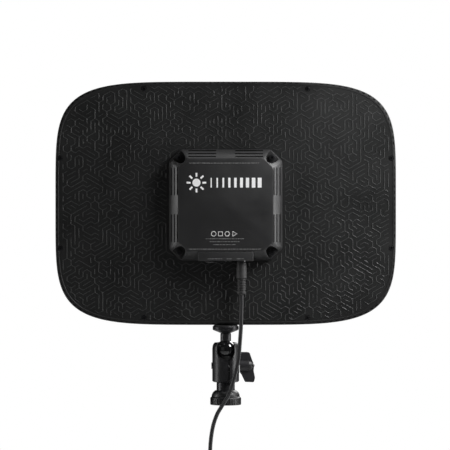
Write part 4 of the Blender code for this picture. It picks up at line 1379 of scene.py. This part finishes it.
def make_lights():
    chosen = settings()
    aim = (0.0, 0.0, 0.19)
    area_light("key", (0.45, -0.22, 0.52), (0.12, 0.0, 0.26), (0.25, 0.25), chosen.key_power)
    area_light("right strip", (0.7, -0.07, 0.15), aim, (0.2, 0.9), chosen.strip_power, sheen=True)
    area_light("left strip", (-0.7, -0.07, 0.15), aim, (0.2, 0.9), chosen.strip_power * 0.7, sheen=True)
    area_light("top strip", (0.05, -0.07, 0.95), aim, (0.8, 0.2), chosen.strip_power * 0.35, sheen=True)
    area_light("fill", (-1.2, -1.6, 0.5), aim, (1.4, 1.4), chosen.fill_power)
    area_light("light side", (0.9, 2.0, 1.4), aim, (1.6, 1.2), chosen.fill_power * 40)
    overhead = area_light("overhead", (0.0, 0.0, 1.7), (0.0, 0.01, 0.0), (2.4, 2.4), chosen.floor_power)
    overhead.visible_glossy = False
    world = bpy.data.worlds.new("studio")
    bpy.context.scene.world = world
    world.use_nodes = True
    tree = world.node_tree
    tree.nodes.clear()
    seen = add_node(tree, "ShaderNodeBackground", (0, 200), Color=(1, 1, 1, 1), Strength=1.0)
    glow = add_node(tree, "ShaderNodeBackground", (0, 0), Color=(1, 1, 1, 1), Strength=0.02)
    path = add_node(tree, "ShaderNodeLightPath", (0, 500))
    mix = add_node(tree, "ShaderNodeMixShader", (250, 100))
    out = add_node(tree, "ShaderNodeOutputWorld", (450, 100))
    tree.links.new(path.outputs["Is Camera Ray"], mix.inputs[0])
    tree.links.new(glow.outputs[0], mix.inputs[1])
    tree.links.new(seen.outputs[0], mix.inputs[2])
    tree.links.new(mix.outputs[0], out.inputs[0])
    bpy.context.scene.view_settings.view_transform = "Standard"


def make_floor():
    """A plain pale round floor below the hanging lead."""
    top = CAD_BOUNDS[0][2] / MM - FLOOR_DROP
    floor = turned("studio_floor", [(FLOOR_RADIUS, top - 20.0), (FLOOR_RADIUS, top)], sides=96)
    floor.data.materials.append(look("pale floor"))


# ---- operators ----------------------------------------------------------------------------

class PANEL_LIGHT_OT_stage(bpy.types.Operator):
    """Set up the camera, the lights and the floor"""

    bl_idname = "panel_light.stage"
    bl_label = "Stage"

    def execute(self, context):
        make_camera()
        make_lights()
        make_floor()
        return {"FINISHED"}


class PANEL_LIGHT_OT_supply_lead(bpy.types.Operator):
    """Model the supply lead, its coil and its plugs"""

    bl_idname = "panel_light.supply_lead"
    bl_label = "Supply lead"

    def execute(self, context):
        make_lead()
        return {"FINISHED"}


class PANEL_LIGHT_OT_rear_shell(bpy.types.Operator):
    """Model the panel's rear shell with its vent slots"""

    bl_idname = "panel_light.rear_shell"
    bl_label = "Rear shell"

    def execute(self, context):
        make_rear_shell()
        return {"FINISHED"}


class PANEL_LIGHT_OT_relief(bpy.types.Operator):
    """Model the line maze on the rear shell"""

    bl_idname = "panel_light.relief"
    bl_label = "Line relief"

    def execute(self, context):
        make_relief()
        return {"FINISHED"}


class PANEL_LIGHT_OT_panel_screws(bpy.types.Operator):
    """Model the screws round the panel"""

    bl_idname = "panel_light.panel_screws"
    bl_label = "Panel screws"

    def execute(self, context):
        make_panel_screws()
        return {"FINISHED"}


class PANEL_LIGHT_OT_front(bpy.types.Operator):
    """Model the front bezel and the opal sheet"""

    bl_idname = "panel_light.front"
    bl_label = "Front"

    def execute(self, context):
        make_front()
        return {"FINISHED"}


class PANEL_LIGHT_OT_box_lid(bpy.types.Operator):
    """Model the control box's lid and screws"""

    bl_idname = "panel_light.box_lid"
    bl_label = "Control box"

    def execute(self, context):
        make_box_lid()
        return {"FINISHED"}


class PANEL_LIGHT_OT_connectors(bpy.types.Operator):
    """Model the connector strip, switch and reset pin"""

    bl_idname = "panel_light.connectors"
    bl_label = "Connectors"

    def execute(self, context):
        make_connector_strip()
        return {"FINISHED"}


class PANEL_LIGHT_OT_printing(bpy.types.Operator):
    """Print the generic marks on the control box"""

    bl_idname = "panel_light.printing"
    bl_label = "Printing"

    def execute(self, context):
        make_printing()
        return {"FINISHED"}


class PANEL_LIGHT_OT_ball_head(bpy.types.Operator):
    """Model the ball head, its knob and its locking disc"""

    bl_idname = "panel_light.ball_head"
    bl_label = "Ball head"

    def execute(self, context):
        make_housing()
        make_knob()
        make_ball_and_stud()
        make_lock_disc()
        return {"FINISHED"}


class PANEL_LIGHT_OT_pole(bpy.types.Operator):
    """Model the pole stub and its twist-lock collar"""

    bl_idname = "panel_light.pole"
    bl_label = "Pole"

    def execute(self, context):
        make_pole()
        return {"FINISHED"}


class PANEL_LIGHT_OT_electronics(bpy.types.Operator):
    """Model the driver board and what is soldered to it"""

    bl_idname = "panel_light.electronics"
    bl_label = "Electronics"

    def execute(self, context):
        make_driver_board()
        make_choke_and_capacitor()
        make_module_and_sockets()
        return {"FINISHED"}


class PANEL_LIGHT_OT_led_strips(bpy.types.Operator):
    """Model the three LED strips and their lamps"""

    bl_idname = "panel_light.led_strips"
    bl_label = "LED strips"

    def execute(self, context):
        make_led_strips()
        return {"FINISHED"}


class PANEL_LIGHT_OT_insides(bpy.types.Operator):
    """Finish the inner pieces that keep their shape"""

    bl_idname = "panel_light.insides"
    bl_label = "Insides"

    def execute(self, context):
        dress_inside()
        return {"FINISHED"}


OPERATORS = [
    PANEL_LIGHT_OT_stage,
    PANEL_LIGHT_OT_supply_lead,
    PANEL_LIGHT_OT_rear_shell,
    PANEL_LIGHT_OT_relief,
    PANEL_LIGHT_OT_panel_screws,
    PANEL_LIGHT_OT_front,
    PANEL_LIGHT_OT_box_lid,
    PANEL_LIGHT_OT_connectors,
    PANEL_LIGHT_OT_printing,
    PANEL_LIGHT_OT_ball_head,
    PANEL_LIGHT_OT_pole,
    PANEL_LIGHT_OT_electronics,
    PANEL_LIGHT_OT_led_strips,
    PANEL_LIGHT_OT_insides,
]


class VIEW3D_PT_panel_light(bpy.types.Panel):
    """Lists the panel light's settings and steps."""

    bl_label = "Panel light"
    bl_idname = "VIEW3D_PT_panel_light"
    bl_space_type = "VIEW_3D"
    bl_region_type = "UI"
    bl_category = "Panel light"

    def draw(self, context):
        for name in PanelLightSettings.__annotations__:
            self.layout.prop(context.scene.panel_light, name)
        for operator in OPERATORS:
            self.layout.operator(operator.bl_idname)


CLASSES = [PanelLightSettings, *OPERATORS, VIEW3D_PT_panel_light]


def register():
    for entry in CLASSES:
        bpy.utils.register_class(entry)
    bpy.types.Scene.panel_light = PointerProperty(type=PanelLightSettings)


def unregister():
    del bpy.types.Scene.panel_light
    for entry in reversed(CLASSES):
        bpy.utils.unregister_class(entry)


def main():
    """Runs every step in order."""
    register()
    for operator in OPERATORS:
        step = operator.bl_idname.split(".")[1]
        getattr(bpy.ops.panel_light, step)()


if __name__ == "__main__":
    main()
